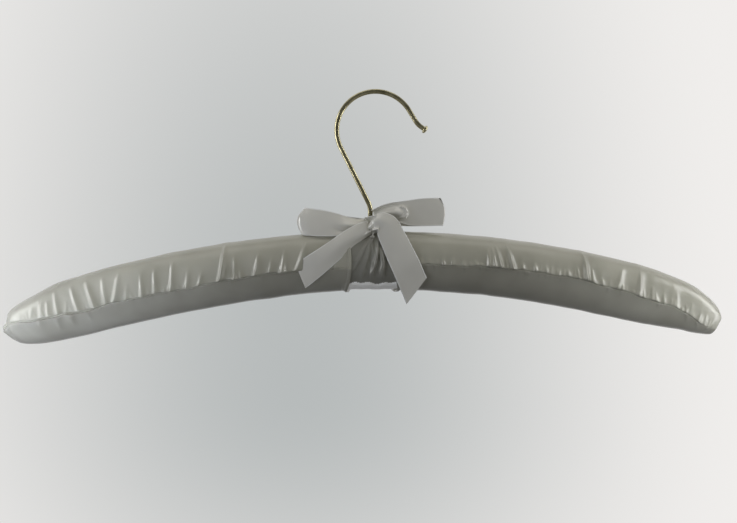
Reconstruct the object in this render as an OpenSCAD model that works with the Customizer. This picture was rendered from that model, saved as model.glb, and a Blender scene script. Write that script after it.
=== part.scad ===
// Padded satin clothes hanger with a swivelling wire hook and a tied ribbon bow.
// X runs along the shoulders, -Y is the front, +Z is up.
// The origin is where the hook rests on its rail, straight above the swivel axis.

/* [Padded arms] */
// Overall width, tip to tip
hanger_w = 380; // [350:5:410]
// Radius of the mid-line that both arms bend along
bow_r = 540; // [500:10:640]
// Height of a padded arm
arm_h = 31; // [29:0.5:35]
// Depth of a padded arm, front to back
arm_d = 29; // [27:0.5:33]
// Length of the rounded nose at each tip
nose_len = 45; // [36:1:52]

/* [Satin covers] */
// Thickness of the satin, seam allowance included
cover_t = 0.5; // [0.4:0.1:0.8]
// Width of the wrapped middle that shows between the two covers
middle_w = 24; // [20:1:30]
// Width of the turned hem at the open end of a cover
hem_w = 3; // [2:0.5:5]
// How far the turned hem stands out from the cover
hem_rise = 0.6; // [0.3:0.1:1]

/* [Centre wrap] */
// Thickness of the wound band
wrap_t = 0.7; // [0.5:0.1:1]
// Length of the band that is tucked under each cover
wrap_tuck = 3; // [2:0.5:4]

/* [Wooden yoke] */
// Height of the yoke in the middle
yoke_mid_h = 18; // [16:0.5:20]
// Height of the yoke at its ends
yoke_end_h = 9; // [8:0.5:12]
// Thickness of the yoke, front to back
yoke_t = 12; // [10:0.5:14]
// Radius of the routed edges
yoke_edge_r = 3; // [2:0.25:4]
// Distance from the end of the yoke to the tip of the cover
yoke_end_gap = 11; // [9:0.5:18]

/* [Hook] */
// Diameter of the hook wire
wire_d = 2.6; // [2.2:0.1:3]
// Inside radius of the hook, which takes the rail
rail_r = 19.6; // [17:0.2:22]
// Sideways shift of the hook's centre from the swivel axis
hook_shift = 3.6; // [2:0.2:6]
// Lean of the straight part from the vertical
hook_lean = 26; // [23:1:30]
// Radius of the bend between the straight part and the shank
shank_bend_r = 10; // [7:0.5:12]
// Angle above the horizontal at which the round part ends
hook_end_a = 31; // [22:1:36]
// Straight length between the round part and the flared tip
flare_lead = 7; // [4:0.5:9]
// Radius of the flare that turns the tip outwards
flare_r = 18; // [12:1:24]
// Angle that the flare turns through
flare_turn = 14; // [8:1:20]
// Straight length of the tip behind its head
tip_len = 1.2; // [0.8:0.2:3]
// Diameter of the button head on the tip
tip_head_d = 4.4; // [4:0.1:5.4]
// Thickness of the button head on the tip
tip_head_t = 1.9; // [1.5:0.1:2.5]
// Height of the rail seat above the top of the arms
hook_rise = 72.5; // [71:0.5:84]

/* [Swivel] */
// Radial running clearance of the shank in its bush and washer
run_gap = 0.06; // [0.03:0.01:0.1]
// End play of the shank at its collar and at its rivet head
end_play = 0.3; // [0.2:0.05:0.4]
// Outside diameter of the bush barrel
bush_d = 5.2; // [4.6:0.1:6]
// Length of the bush barrel
bush_len = 8; // [6:0.5:10]
// Diameter of the bush flange
flange_d = 8.4; // [7.6:0.2:9.4]
// Thickness of the bush flange
flange_t = 0.8; // [0.6:0.1:1.2]
// Diameter of the swaged collar on the shank
collar_d = 4.6; // [4.2:0.1:5]
// Height of the swaged collar on the shank
collar_h = 1.2; // [0.8:0.1:1.6]
// Diameter of the retaining washer
washer_d = 8; // [7:0.2:9]
// Thickness of the retaining washer
washer_t = 0.8; // [0.6:0.1:1.2]
// Diameter of the riveted head under the washer
rivet_d = 4.8; // [4.4:0.1:5.4]
// Thickness of the riveted head under the washer
rivet_t = 1.4; // [1:0.1:1.8]
// Depth of the pocket in the underside of the yoke
pocket_depth = 4.5; // [4:0.25:6]

/* [Ribbon bow] */
// Width of the ribbon
ribbon_w = 15; // [13:0.5:16]
// Thickness of the ribbon
ribbon_t = 0.4; // [0.3:0.05:0.6]
// Outside diameter of the knot round the shank
knot_d = 9.5; // [8.5:0.5:12]
// Height of the knot
knot_h = 10; // [8:0.5:11]
// Width of the gathered ribbon where it leaves the knot
throat_w = 7; // [6:0.5:9]
// Length over which the ribbon opens from the knot to its full width
throat_len = 18; // [14:1:20]
// Reach of each loop from the swivel axis
loop_reach = 39; // [34:1:44]
// Depth of an open loop, front to back
loop_d = 9; // [6:0.5:12]
// Height above the arms at which the loops leave the knot
loop_rise = 6.4; // [6:0.2:7.6]
// Upward tilt of the left loop
left_loop_tilt = 3; // [3:1:8]
// Upward tilt of the right loop
right_loop_tilt = 8; // [3:1:12]
// Length of the left tail
left_tail_len = 49; // [44:1:54]
// Turn of the left tail from straight down
left_tail_a = 51; // [44:1:56]
// Length of the right tail
right_tail_len = 46; // [42:1:52]
// Turn of the right tail from straight down
right_tail_a = 23; // [18:1:30]
// Distance from the swivel axis at which the right tail leaves the knot
right_tail_x = 6; // [4:0.5:8]
// Slope of the slanting cut across the end of a tail
tail_cut_a = 32; // [20:1:40]

/* [Hidden] */
$fn = 64;

ball_over = 0.005; // how far the ball between two stretches of wire outgrows the wire
soft_gap = 0.3;   // clearance between a soft piece and what carries it
seat_gap = 0.05;  // clearance of a metal piece in its seat in the wood
past = 1;         // how far a cutter runs past the face that it opens
ring_n = 24;      // points round a section of a padded arm
span_n = 10;      // sections along the even stretch of an arm
nose_n = 8;       // sections round the nose of an arm
curve_n = 18;     // points along a curved ribbon

wire_r = wire_d / 2;
wire_bend_r = rail_r + wire_r;
arm_top_z = -hook_rise;
mid_z = arm_top_z - arm_h / 2;
bow_z = mid_z - bow_r;
tip_s = arc_of(hanger_w / 2);

// ---- the bent mid-line of the arms -------------------------------------------------

// Length along the mid-line out to a distance x from the middle.
function arc_of(x) = bow_r * asin(x / bow_r) * PI / 180;

// How far the mid-line has dropped at a distance x from the middle.
function bow_drop(x) = bow_r - sqrt(bow_r * bow_r - x * x);

// Point at length s along the mid-line, v above it and y behind it.
function bow_point(s, v, y) =
    let (a = s / bow_r * 180 / PI)
    [(bow_r + v) * sin(a), y, bow_z + (bow_r + v) * cos(a)];

// Oval section of an arm at length s, with its half height and half depth.
function arm_ring(s, half_h, half_d) =
    [for (i = [0 : ring_n - 1]) let (t = 360 * i / ring_n)
        bow_point(s, half_h * cos(t), half_d * sin(t))];

// Sections from length s0 to the nose of an arm whose surface lies inset inside the cover.
function arm_rings(s0, inset) =
    let (h = arm_h / 2 - inset, d = arm_d / 2 - inset, s1 = tip_s - nose_len)
    concat(
        [for (i = [0 : span_n]) arm_ring(s0 + (s1 - s0) * i / span_n, h, d)],
        [for (i = [1 : nose_n - 1]) let (q = 90 * (1 - i / nose_n))
            arm_ring(s1 + (nose_len - inset) * cos(q), h * sin(q), d * sin(q))]
    );

function arm_tip(inset) = bow_point(tip_s - inset, 0, 0);

// Triangles between neighbouring rings, the first of which has its points at number first.
function side_faces(rings, first, outer) =
    [for (k = [0 : rings - 2]) for (i = [0 : ring_n - 1])
        let (j = (i + 1) % ring_n, a = first + k * ring_n, b = a + ring_n)
        each outer ? [[a + i, b + j, b + i], [a + i, a + j, b + j]]
                   : [[a + i, b + i, b + j], [a + i, b + j, a + j]]];

// Triangles that close the ring at number last with a point at number tip.
function tip_faces(last, tip, outer) =
    [for (i = [0 : ring_n - 1]) let (j = (i + 1) % ring_n)
        outer ? [last + i, last + j, tip] : [last + i, tip, last + j]];

// Sleeve from its open inner end to its closed tip, with a hollow inside.
module sleeve(outer, outer_tip, inner, inner_tip) {
    n = len(outer);
    m = len(inner);
    first = n * ring_n;
    tip = (n + m) * ring_n;
    polyhedron(
        points = concat([for (r = outer) each r], [for (r = inner) each r],
                        [outer_tip, inner_tip]),
        faces = concat(
            side_faces(n, 0, true),
            tip_faces(first - ring_n, tip, true),
            side_faces(m, first, false),
            tip_faces(tip - ring_n, tip + 1, false),
            [for (i = [0 : ring_n - 1]) let (j = (i + 1) % ring_n)
                each [[i, first + j, j], [i, first + i, first + j]]]
        )
    );
}

module mirrored(left) {
    mirror([left ? 1 : 0, 0, 0]) children();
}

// ---- satin covers --------------------------------------------------------------------

module cover(left) {
    s0 = middle_w / 2;
    hem_s = [s0, s0 + hem_w / 2, s0 + hem_w];
    hem = [for (i = [0 : 2])
        arm_ring(hem_s[i], arm_h / 2 + hem_rise * sin(90 * (2 - i) / 2),
                 arm_d / 2 + hem_rise * sin(90 * (2 - i) / 2))];
    outer = concat(hem, [for (i = [1 : len(arm_rings(s0 + hem_w, 0)) - 1])
        arm_rings(s0 + hem_w, 0)[i]]);
    color("gainsboro") mirrored(left)
        sleeve(outer, arm_tip(0), arm_rings(s0, cover_t), arm_tip(cover_t));
}

module left_cover() { cover(true); }

module right_cover() { cover(false); }

// ---- centre wrap ---------------------------------------------------------------------

wrap_out = cover_t + soft_gap;      // inset of the outside of the wrap
wrap_in = wrap_out + wrap_t;        // inset of its inside
wrap_half = middle_w / 2 + wrap_tuck;

// Wound band, open at both ends and pierced for the shank.
module centre_wrap() {
    ends = [-wrap_half, 0, wrap_half];
    outer = [for (e = ends) arm_ring(e, arm_h / 2 - wrap_out, arm_d / 2 - wrap_out)];
    inner = [for (e = ends) arm_ring(e, arm_h / 2 - wrap_in, arm_d / 2 - wrap_in)];
    n = len(ends);
    first = n * ring_n;
    color("silver") difference() {
        polyhedron(
            points = concat([for (r = outer) each r], [for (r = inner) each r]),
            faces = concat(
                side_faces(n, 0, true),
                side_faces(n, first, false),
                [for (i = [0 : ring_n - 1])
                    let (j = (i + 1) % ring_n, a = (n - 1) * ring_n, b = first + a)
                    each [[i, first + j, j], [i, first + i, first + j],
                          [a + i, a + j, b + j], [a + i, b + j, b + i]]]
            )
        );
        translate([0, 0, mid_z]) cylinder(r = wire_r + soft_gap, h = arm_h);
    }
}

// ---- padding -------------------------------------------------------------------------

pad_out = cover_t + soft_gap;       // inset of the padding under the cover
pad_neck = wrap_in + soft_gap;      // inset of the padding under the wrap

// Sleeve of padding with a channel for the yoke, drawn in where the wrap binds it.
module padding(left) {
    start = flange_d / 2 + soft_gap;
    neck_end = wrap_half + soft_gap;
    channel_end = yoke_half_s + soft_gap;
    neck = [for (s = [start, neck_end])
        arm_ring(s, arm_h / 2 - pad_neck, arm_d / 2 - pad_neck)];
    channel = [for (i = [0 : span_n])
        channel_ring(start + (channel_end - start) * i / span_n, soft_gap)];
    color("whitesmoke") mirrored(left)
        sleeve(concat(neck, arm_rings(neck_end + wrap_t, pad_out)), arm_tip(pad_out),
               channel, bow_point(channel_end, 0, 0));
}

module left_padding() { padding(true); }

module right_padding() { padding(false); }

// ---- wooden yoke ---------------------------------------------------------------------

yoke_half = hanger_w / 2 - yoke_end_gap;
yoke_half_s = arc_of(yoke_half);
yoke_taper = (yoke_mid_h - yoke_end_h) / 2;
yoke_top_z = mid_z + yoke_mid_h / 2;
yoke_under_z = mid_z - yoke_mid_h / 2;
yoke_top_r = crown_r(yoke_half, bow_drop(yoke_half) + yoke_taper);
yoke_under_r = crown_r(yoke_half, bow_drop(yoke_half) - yoke_taper);

// Radius of the circle that drops by h at a distance x from its crown.
function crown_r(x, h) = (x * x + h * h) / (2 * h);

// Height above the mid-line, at angle a along it, of a circle of radius r crowned at z.
function above_mid(a, r, z) =
    let (d = z - r - bow_z)
    d * cos(a) + sqrt(r * r - pow(d * sin(a), 2)) - bow_r;

// Section of the yoke at length s along the mid-line, grown by g all round.
function channel_ring(s, g) =
    let (
        a = s / bow_r * 180 / PI,
        top = above_mid(a, yoke_top_r, yoke_top_z) + g - yoke_edge_r,
        under = above_mid(a, yoke_under_r, yoke_under_z) - g + yoke_edge_r,
        side = yoke_t / 2 + g - yoke_edge_r,
        q = ring_n / 4
    )
    [for (i = [0 : ring_n - 1])
        let (c = floor(i / q), t = 90 * (c + (i % q) / (q - 1)))
        bow_point(s, (c == 0 || c == 3 ? top : under) + yoke_edge_r * cos(t),
                  (c < 2 ? side : -side) + yoke_edge_r * sin(t))];

// Revolves a section, drawn as radius and depth, about the front-to-back axis through z.
module bow_sweep(z, half_a) {
    translate([0, 0, z]) rotate([90, 0, 0]) rotate([0, 0, 90 - half_a])
        rotate_extrude(angle = 2 * half_a, $fn = 720) children();
}

// Sawn bow with routed edges: a revolved band less a second band under it, with round ends.
module yoke_blank() {
    half_t = yoke_t / 2;
    flat = half_t - yoke_edge_r;
    depth = 2 * yoke_mid_h;
    half_a = asin((yoke_half + yoke_t) / yoke_top_r);
    end_r = 1.2 * half_t;
    end_x = yoke_half - end_r;
    intersection() {
        difference() {
            bow_sweep(yoke_top_z - yoke_top_r, half_a) {
                translate([yoke_top_r - depth, -half_t])
                    square([depth - yoke_edge_r, 2 * half_t]);
                translate([yoke_top_r - depth, -flat]) square([depth, 2 * flat]);
                for (y = [-flat, flat]) translate([yoke_top_r - yoke_edge_r, y])
                    circle(yoke_edge_r);
            }
            bow_sweep(yoke_under_z - yoke_under_r, half_a) difference() {
                translate([yoke_under_r - depth, -half_t - past])
                    square([depth + yoke_edge_r, 2 * (half_t + past)]);
                translate([yoke_under_r, -flat]) square([yoke_edge_r + past, 2 * flat]);
                for (y = [-flat, flat]) translate([yoke_under_r + yoke_edge_r, y])
                    circle(yoke_edge_r);
            }
        }
        translate([0, 0, mid_z - bow_r / 2]) {
            for (x = [-end_x, end_x]) translate([x, 0, 0]) cylinder(r = end_r, h = bow_r);
            translate([-end_x, -end_r, 0]) cube([2 * end_x, 2 * end_r, bow_r]);
        }
    }
}

spot_z = yoke_top_z - flange_t - seat_gap;   // seat of the bush flange
pocket_z = yoke_under_z + pocket_depth;      // seat of the retaining washer

module yoke() {
    color("burlywood") difference() {
        yoke_blank();
        translate([0, 0, mid_z]) cylinder(r = wire_r + soft_gap, h = arm_h, center = true);
        translate([0, 0, spot_z - bush_len - seat_gap])
            cylinder(d = bush_d + 2 * seat_gap, h = arm_h);
        translate([0, 0, spot_z]) cylinder(d = flange_d + 2 * seat_gap, h = arm_h);
        translate([0, 0, pocket_z - arm_h]) cylinder(d = washer_d + 2 * seat_gap, h = arm_h);
    }
}

// ---- swivel --------------------------------------------------------------------------

flange_z = spot_z + seat_gap + flange_t;     // top of the bush flange
washer_z = pocket_z - seat_gap - washer_t;   // underside of the washer

module hook_bush() {
    color("goldenrod") difference() {
        union() {
            translate([0, 0, flange_z - flange_t]) cylinder(d = flange_d, h = flange_t);
            translate([0, 0, flange_z - flange_t - bush_len]) cylinder(d = bush_d, h = bush_len);
        }
        translate([0, 0, flange_z - flange_t - bush_len - past])
            cylinder(r = wire_r + run_gap, h = bush_len + flange_t + 2 * past);
    }
}

module retaining_washer() {
    color("silver") translate([0, 0, washer_z]) difference() {
        cylinder(d = washer_d, h = washer_t);
        translate([0, 0, -past]) cylinder(r = wire_r + run_gap, h = washer_t + 2 * past);
    }
}

// ---- hook ----------------------------------------------------------------------------

hook_c = [hook_shift, -sqrt(rail_r * rail_r - hook_shift * hook_shift)];

function polar(c, r, a) = c + r * [cos(a), sin(a)];

// Wire bent about centre c in the plane of the hook, from angle a0 to angle a1.
module bent_wire(c, r, a0, a1) {
    translate([c[0], 0, c[1]]) rotate([90, 0, 0]) rotate([0, 0, a0])
        rotate_extrude(angle = a1 - a0) translate([r, 0]) circle(wire_r);
}

// Places a child, drawn along +Z, at p so that it points the way of angle a.
module along(p, a) {
    translate([p[0], 0, p[1]]) rotate([0, 90 - a, 0]) children();
}

// Button with a flat rim and a domed face.
module button_head(d, t) {
    rim = t * 0.45;
    dome = t - rim;
    dome_r = crown_r(d / 2, dome);
    cylinder(d = d, h = rim);
    translate([0, 0, rim]) intersection() {
        translate([0, 0, dome - dome_r]) sphere(dome_r);
        cylinder(d = d, h = dome);
    }
}

// Straight wire from p, heading the way of angle a, with a ball at both ends that joins it.
module straight_wire(p, a, h) {
    along(p, a) {
        cylinder(r = wire_r, h = h);
        for (z = [0, h]) translate([0, 0, z]) sphere(wire_r + ball_over);
    }
}

module hook() {
    lean_a = 180 + hook_lean;
    lean_start = polar(hook_c, wire_bend_r, lean_a);
    // where the leaning line would cross the swivel axis
    cross_z = lean_start[1] + lean_start[0] / tan(hook_lean);
    shank_z = cross_z - shank_bend_r * tan(hook_lean / 2);
    bend_end = polar([-shank_bend_r, shank_z], shank_bend_r, hook_lean);
    flare_start = polar(hook_c, wire_bend_r, hook_end_a);
    flare_in = polar(flare_start, flare_lead, hook_end_a - 90);
    flare_c = polar(flare_in, flare_r, hook_end_a);
    flare_out = polar(flare_c, flare_r, hook_end_a + 180 + flare_turn);
    tip_a = hook_end_a + flare_turn - 90;
    rivet_z = washer_z - end_play;
    color("darkgoldenrod") {
        bent_wire(hook_c, wire_bend_r, hook_end_a, lean_a);
        straight_wire(bend_end, 90 + hook_lean, norm(lean_start - bend_end));
        bent_wire([-shank_bend_r, shank_z], shank_bend_r, 0, hook_lean);
        straight_wire([0, rivet_z + wire_r], 90, shank_z - rivet_z - wire_r);
        translate([0, 0, rivet_z]) mirror([0, 0, 1]) button_head(rivet_d, rivet_t);
        translate([0, 0, flange_z + end_play]) cylinder(d = collar_d, h = collar_h);
        straight_wire(flare_start, hook_end_a - 90, flare_lead);
        bent_wire(flare_c, flare_r, hook_end_a + 180, hook_end_a + 180 + flare_turn);
        straight_wire(flare_out, tip_a, tip_len);
        along(polar(flare_out, tip_len, tip_a), tip_a) button_head(tip_head_d, tip_head_t);
    }
}

// ---- ribbon bow ----------------------------------------------------------------------

knot_z = arm_top_z - wrap_out + soft_gap;  // underside of the knot, on the wrap
bow_mid_z = knot_z + knot_h / 2;
root = knot_d / 2 + soft_gap;              // where loops and tails leave the knot
tail_y = -(arm_d / 2 + hem_rise + soft_gap + ribbon_t);  // front of the arms, for a tail

// Outline of a strip of ribbon, seen on edge, along a path of points.
function strip(path) =
    let (
        n = len(path) - 1,
        side = [for (i = [0 : n])
            let (d = path[min(i + 1, n)] - path[max(i - 1, 0)])
            ribbon_t / 2 / norm(d) * [-d[1], d[0]]]
    )
    concat([for (i = [0 : n]) path[i] + side[i]],
           [for (i = [n : -1 : 0]) path[i] - side[i]]);

// Outline of a ribbon, seen flat: gathered at the knot, full width beyond, cut off aslant.
function opened(reach, cut) = [
    [0, -throat_w / 2], [throat_len, -ribbon_w / 2], [reach + cut, -ribbon_w / 2],
    [reach - cut, ribbon_w / 2], [throat_len, ribbon_w / 2], [0, throat_w / 2]
];

// Petal that starts and ends at the knot, seen from above.
function petal(reach) =
    [for (i = [0 : 2 * curve_n]) let (u = i / (2 * curve_n))
        [reach * pow(sin(180 * u), 0.8),
         (loop_d / 2 - ribbon_t) * sin(360 * u) + 1.5 * ribbon_t * cos(180 * u)]];

// Fall of a tail from the knot to the face of the arm, seen on edge.
function fall(reach) =
    concat(
        [for (i = [0 : curve_n]) let (u = i / curve_n)
            [throat_len * u * (0.35 + 0.65 * u),
             -root + (tail_y + root) * (1 - pow(1 - u, 2.6))]],
        [[reach, tail_y]]
    );

// Folded shape, seen on edge, trimmed to the outline of the ribbon as it lies flat.
module ribbon(path, reach, cut) {
    intersection() {
        translate([0, 0, -ribbon_w / 2]) linear_extrude(ribbon_w) polygon(strip(path));
        rotate([90, 0, 0]) linear_extrude(2 * arm_d, center = true)
            polygon(opened(reach, cut));
    }
}

module loop(side, tilt) {
    reach = loop_reach - root - ribbon_t / 2;
    translate([side * root, 0, arm_top_z + loop_rise]) rotate([0, -side * tilt, 0])
        mirror([side < 0 ? 1 : 0, 0, 0]) ribbon(petal(reach), reach + ribbon_w, 0);
}

module tail(side, x, turn, reach) {
    translate([side * x, 0, bow_mid_z]) mirror([side < 0 ? 1 : 0, 0, 0])
        rotate([0, 90 - turn, 0])
            ribbon(fall(reach + ribbon_w), reach, side * ribbon_w / 2 * tan(tail_cut_a));
}

module bow_knot() {
    round_r = knot_d / 5;
    color("silver") translate([0, 0, knot_z]) difference() {
        union() {
            translate([0, 0, round_r]) cylinder(d = knot_d, h = knot_h - 2 * round_r);
            cylinder(d = knot_d - 2 * round_r, h = knot_h);
            for (z = [round_r, knot_h - round_r]) translate([0, 0, z])
                rotate_extrude() translate([knot_d / 2 - round_r, 0]) circle(round_r);
        }
        translate([0, 0, -past]) cylinder(r = wire_r + soft_gap, h = knot_h + 2 * past);
    }
}

module bow_left_loop() { color("silver") loop(-1, left_loop_tilt); }

module bow_right_loop() { color("silver") loop(1, right_loop_tilt); }

module bow_left_tail() { color("silver") tail(-1, 0, left_tail_a, left_tail_len); }

module bow_right_tail() { color("silver") tail(1, right_tail_x, right_tail_a, right_tail_len); }

hook();
hook_bush();
retaining_washer();
yoke();
left_padding();
right_padding();
left_cover();
right_cover();
centre_wrap();
bow_knot();
bow_left_loop();
bow_right_loop();
bow_left_tail();
bow_right_tail();
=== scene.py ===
"""Padded satin clothes hanger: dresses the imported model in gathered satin, ribbon and brass.

Lengths are in metres in the model's own frame: X along the shoulders, -Y out of the front,
+Z up, with the origin where the hook rests on its rail. Fields whose names end in _mm are in
millimetres, because that is how the cloth, the wire and the ribbon are measured.
"""

import logging
import math
import random
from dataclasses import dataclass
from enum import Enum
from typing import Any, Iterable, Optional, Sequence

import bpy
import numpy as np
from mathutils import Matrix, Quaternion, Vector


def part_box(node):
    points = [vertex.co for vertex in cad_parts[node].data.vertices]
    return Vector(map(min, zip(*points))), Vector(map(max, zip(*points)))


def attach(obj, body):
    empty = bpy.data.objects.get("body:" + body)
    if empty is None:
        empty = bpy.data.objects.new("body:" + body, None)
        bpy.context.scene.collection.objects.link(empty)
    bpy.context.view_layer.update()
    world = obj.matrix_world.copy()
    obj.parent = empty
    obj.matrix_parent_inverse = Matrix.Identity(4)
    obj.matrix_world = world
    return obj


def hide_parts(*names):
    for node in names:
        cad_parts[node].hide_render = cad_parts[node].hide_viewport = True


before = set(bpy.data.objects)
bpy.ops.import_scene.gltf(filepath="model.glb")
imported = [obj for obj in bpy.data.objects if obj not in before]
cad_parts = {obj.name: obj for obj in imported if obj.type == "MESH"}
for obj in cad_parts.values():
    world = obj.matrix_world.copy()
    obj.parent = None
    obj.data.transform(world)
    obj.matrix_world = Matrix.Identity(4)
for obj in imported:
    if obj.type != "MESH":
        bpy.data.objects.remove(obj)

LOG = logging.getLogger("padded_hanger")
MM = 0.001


class Side(Enum):
    """Which arm of the hanger a piece belongs to."""

    LEFT = -1
    RIGHT = 1


class Body(Enum):
    """The moving bodies that pieces ride on."""

    HOOK = "hook"
    HANGER = "hanger"


# ---------------------------------------------------------------------------
# Small tools
# ---------------------------------------------------------------------------


def linear(colour: str) -> tuple[float, float, float, float]:
    """Turns an sRGB hex colour into linear light.

    Args:
        colour: The colour as "#RRGGBB".

    Returns:
        Red, green, blue and an alpha of one.
    """
    parts = [int(colour[i : i + 2], 16) / 255.0 for i in (1, 3, 5)]
    red, green, blue = (p / 12.92 if p <= 0.04045 else ((p + 0.055) / 1.055) ** 2.4 for p in parts)
    return red, green, blue, 1.0


def add_node(
    tree: bpy.types.NodeTree,
    kind: str,
    inputs: Optional[dict[str | int, Any]] = None,
    links: Optional[dict[str | int, bpy.types.NodeSocket]] = None,
    **attributes: Any,
) -> bpy.types.Node:
    """Adds a node with its settings and its incoming links.

    Args:
        tree: The node tree to add to.
        kind: The node's type name.
        inputs: Values for its input sockets, by name or number.
        links: Output sockets to link into its inputs, by name or number.
        attributes: Properties of the node itself.

    Returns:
        The new node.
    """
    node = tree.nodes.new(kind)
    for name, value in attributes.items():
        setattr(node, name, value)
    for name, value in (inputs or {}).items():
        node.inputs[name].default_value = value
    for name, socket in (links or {}).items():
        tree.links.new(socket, node.inputs[name])
    return node


def empty_material(name: str) -> tuple[bpy.types.Material, bpy.types.NodeTree]:
    """Makes a material whose node tree holds nothing yet.

    Args:
        name: The material's name.

    Returns:
        The material and its node tree.
    """
    material = bpy.data.materials.new(name)
    material.use_nodes = True
    material.node_tree.nodes.clear()
    return material, material.node_tree


def smooth_step(x: np.ndarray, low: float, high: float) -> np.ndarray:
    """Rises smoothly from 0 at low to 1 at high.

    Args:
        x: Where to read the curve.
        low: Where the rise starts.
        high: Where the rise ends.

    Returns:
        Values from 0 to 1.
    """
    t = np.clip((x - low) / (high - low), 0.0, 1.0)
    return t * t * (3.0 - 2.0 * t)


def spline(
    knots: Sequence[float], values: Sequence[Any], x: np.ndarray, tight: bool = False
) -> np.ndarray:
    """Draws a smooth curve through given points.

    Args:
        knots: Rising places along the curve.
        values: A number or a vector at each place.
        x: Where to read the curve.
        tight: Whether the curve may never pass its neighbouring points, which keeps
            corners crisp.

    Returns:
        The values of the curve at x.
    """
    k = np.asarray(knots, float)
    v = np.asarray(values, float).reshape(len(k), -1)
    slope = np.gradient(v, k, axis=0)
    if tight:
        rise = np.diff(v, axis=0) / np.diff(k)[:, None]
        before, after = rise[:-1], rise[1:]
        same = before * after > 0
        both = np.where(same, before + after, 1.0)
        slope[1:-1] = np.where(same, 2.0 * before * after / both, 0.0)
        slope[0], slope[-1] = rise[0], rise[-1]
    i = np.clip(np.searchsorted(k, x, side="right") - 1, 0, len(k) - 2)
    span = (k[i + 1] - k[i])[:, None]
    t = ((np.asarray(x) - k[i]) / span[:, 0])[:, None]
    curve = (
        (2 * t**3 - 3 * t**2 + 1) * v[i]
        + (t**3 - 2 * t**2 + t) * span * slope[i]
        + (-2 * t**3 + 3 * t**2) * v[i + 1]
        + (t**3 - t**2) * span * slope[i + 1]
    )
    return curve[:, 0] if np.asarray(values[0]).ndim == 0 else curve


def spread(count: int, length: float, fine: float, coarse: float, reach: float) -> np.ndarray:
    """Spaces points along a stretch, close together near both of its ends.

    Args:
        count: How many points, both ends included.
        length: Length of the stretch.
        fine: Relative spacing at the ends.
        coarse: Relative spacing away from them.
        reach: How far the close spacing carries on from an end.

    Returns:
        Shares of the length, from 0 to 1.
    """
    x = np.linspace(0.0, length, 2000)
    step = fine + (coarse - fine) * smooth_step(np.minimum(x, length - x), reach / 4, reach)
    run = np.concatenate([[0.0], np.cumsum(0.5 * (1 / step[1:] + 1 / step[:-1]))])
    return np.interp(np.linspace(0.0, run[-1], count), run, x / length)


def fold_depth(ratio: np.ndarray, width: np.ndarray, folds: float) -> np.ndarray:
    """Works out how deep the folds are that gather a ribbon to a smaller width.

    Args:
        ratio: The cloth's flat width over its gathered width.
        width: Its gathered width.
        folds: How many waves lie across each half of it.

    Returns:
        Height of the waves, in the unit of the width.
    """
    slope = np.linspace(0.0, 12.0, 200)
    turn = np.linspace(0.0, 2 * math.pi, 120)
    longer = np.sqrt(1 + (slope[:, None] * np.cos(turn)) ** 2).mean(axis=1)
    return np.interp(ratio, longer, slope) * width / (2 * math.pi * folds)


def unit(v: np.ndarray) -> np.ndarray:
    """Scales vectors in the last axis to a length of one."""
    return v / np.maximum(np.linalg.norm(v, axis=-1, keepdims=True), 1e-12)


def grid_faces(rows: int, columns: int, around: bool) -> list[tuple[int, ...]]:
    """Lists the faces of a grid of points.

    Args:
        rows: Points in the first direction.
        columns: Points in the second direction.
        around: Whether the second direction closes on itself.

    Returns:
        Quads as point numbers.
    """
    last = columns if around else columns - 1
    return [
        (
            r * columns + c,
            r * columns + (c + 1) % columns,
            (r + 1) * columns + (c + 1) % columns,
            (r + 1) * columns + c,
        )
        for r in range(rows - 1)
        for c in range(last)
    ]


def make_piece(
    name: str,
    points: np.ndarray,
    faces: Iterable[tuple[int, ...]],
    material: bpy.types.Material,
    uv: Optional[np.ndarray] = None,
) -> bpy.types.Object:
    """Makes a smooth mesh object from points and faces.

    Args:
        name: The piece's name.
        points: One point a row, in metres.
        faces: Point numbers of each face.
        material: The piece's finish.
        uv: Cloth coordinates of each point, in metres, if it has any.

    Returns:
        The new object, linked to the scene.
    """
    mesh = bpy.data.meshes.new(name)
    mesh.from_pydata(points.reshape(-1, 3).tolist(), [], list(faces))
    mesh.polygons.foreach_set("use_smooth", [True] * len(mesh.polygons))
    mesh.materials.append(material)
    if uv is not None:
        layer = mesh.uv_layers.new(name="cloth")
        corner = np.zeros(len(mesh.loops), np.int32)
        mesh.loops.foreach_get("vertex_index", corner)
        layer.data.foreach_set("uv", uv.reshape(-1, 2)[corner].astype(np.float32).ravel())
    mesh.update()
    piece = bpy.data.objects.new(name, mesh)
    bpy.context.scene.collection.objects.link(piece)
    return piece


def add_finish(piece: bpy.types.Object, finish: bpy.types.Material, where: np.ndarray) -> None:
    """Gives some of a piece's faces a second finish.

    Args:
        piece: The piece.
        finish: The second finish.
        where: Whether it covers each face.
    """
    piece.data.materials.append(finish)
    piece.data.polygons.foreach_set("material_index", where.ravel().astype(np.int32))


def thicken(piece: bpy.types.Object, thickness: float, offset: float = 0.0) -> None:
    """Gives a sheet its thickness and keeps the result in the mesh.

    Args:
        piece: The sheet.
        thickness: Its thickness in metres.
        offset: -1 to grow inwards, 1 to grow outwards, 0 for both.
    """
    solid = piece.modifiers.new("thickness", "SOLIDIFY")
    solid.thickness = thickness
    solid.offset = offset
    graph = bpy.context.evaluated_depsgraph_get()
    mesh = bpy.data.meshes.new_from_object(piece.evaluated_get(graph))
    old = piece.data
    piece.modifiers.clear()
    piece.data = mesh
    bpy.data.meshes.remove(old)


def seat(piece: bpy.types.Object, body: Body, slot: str, *nodes: str) -> None:
    """Makes a piece ride on a body and hides the model nodes that it replaces.

    Args:
        piece: The piece.
        body: The body that carries it.
        slot: Not used.
        nodes: The nodes that it replaces.
    """
    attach(piece, body.value)
    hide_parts(*nodes)


# ---------------------------------------------------------------------------
# Finishes
# ---------------------------------------------------------------------------


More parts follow.
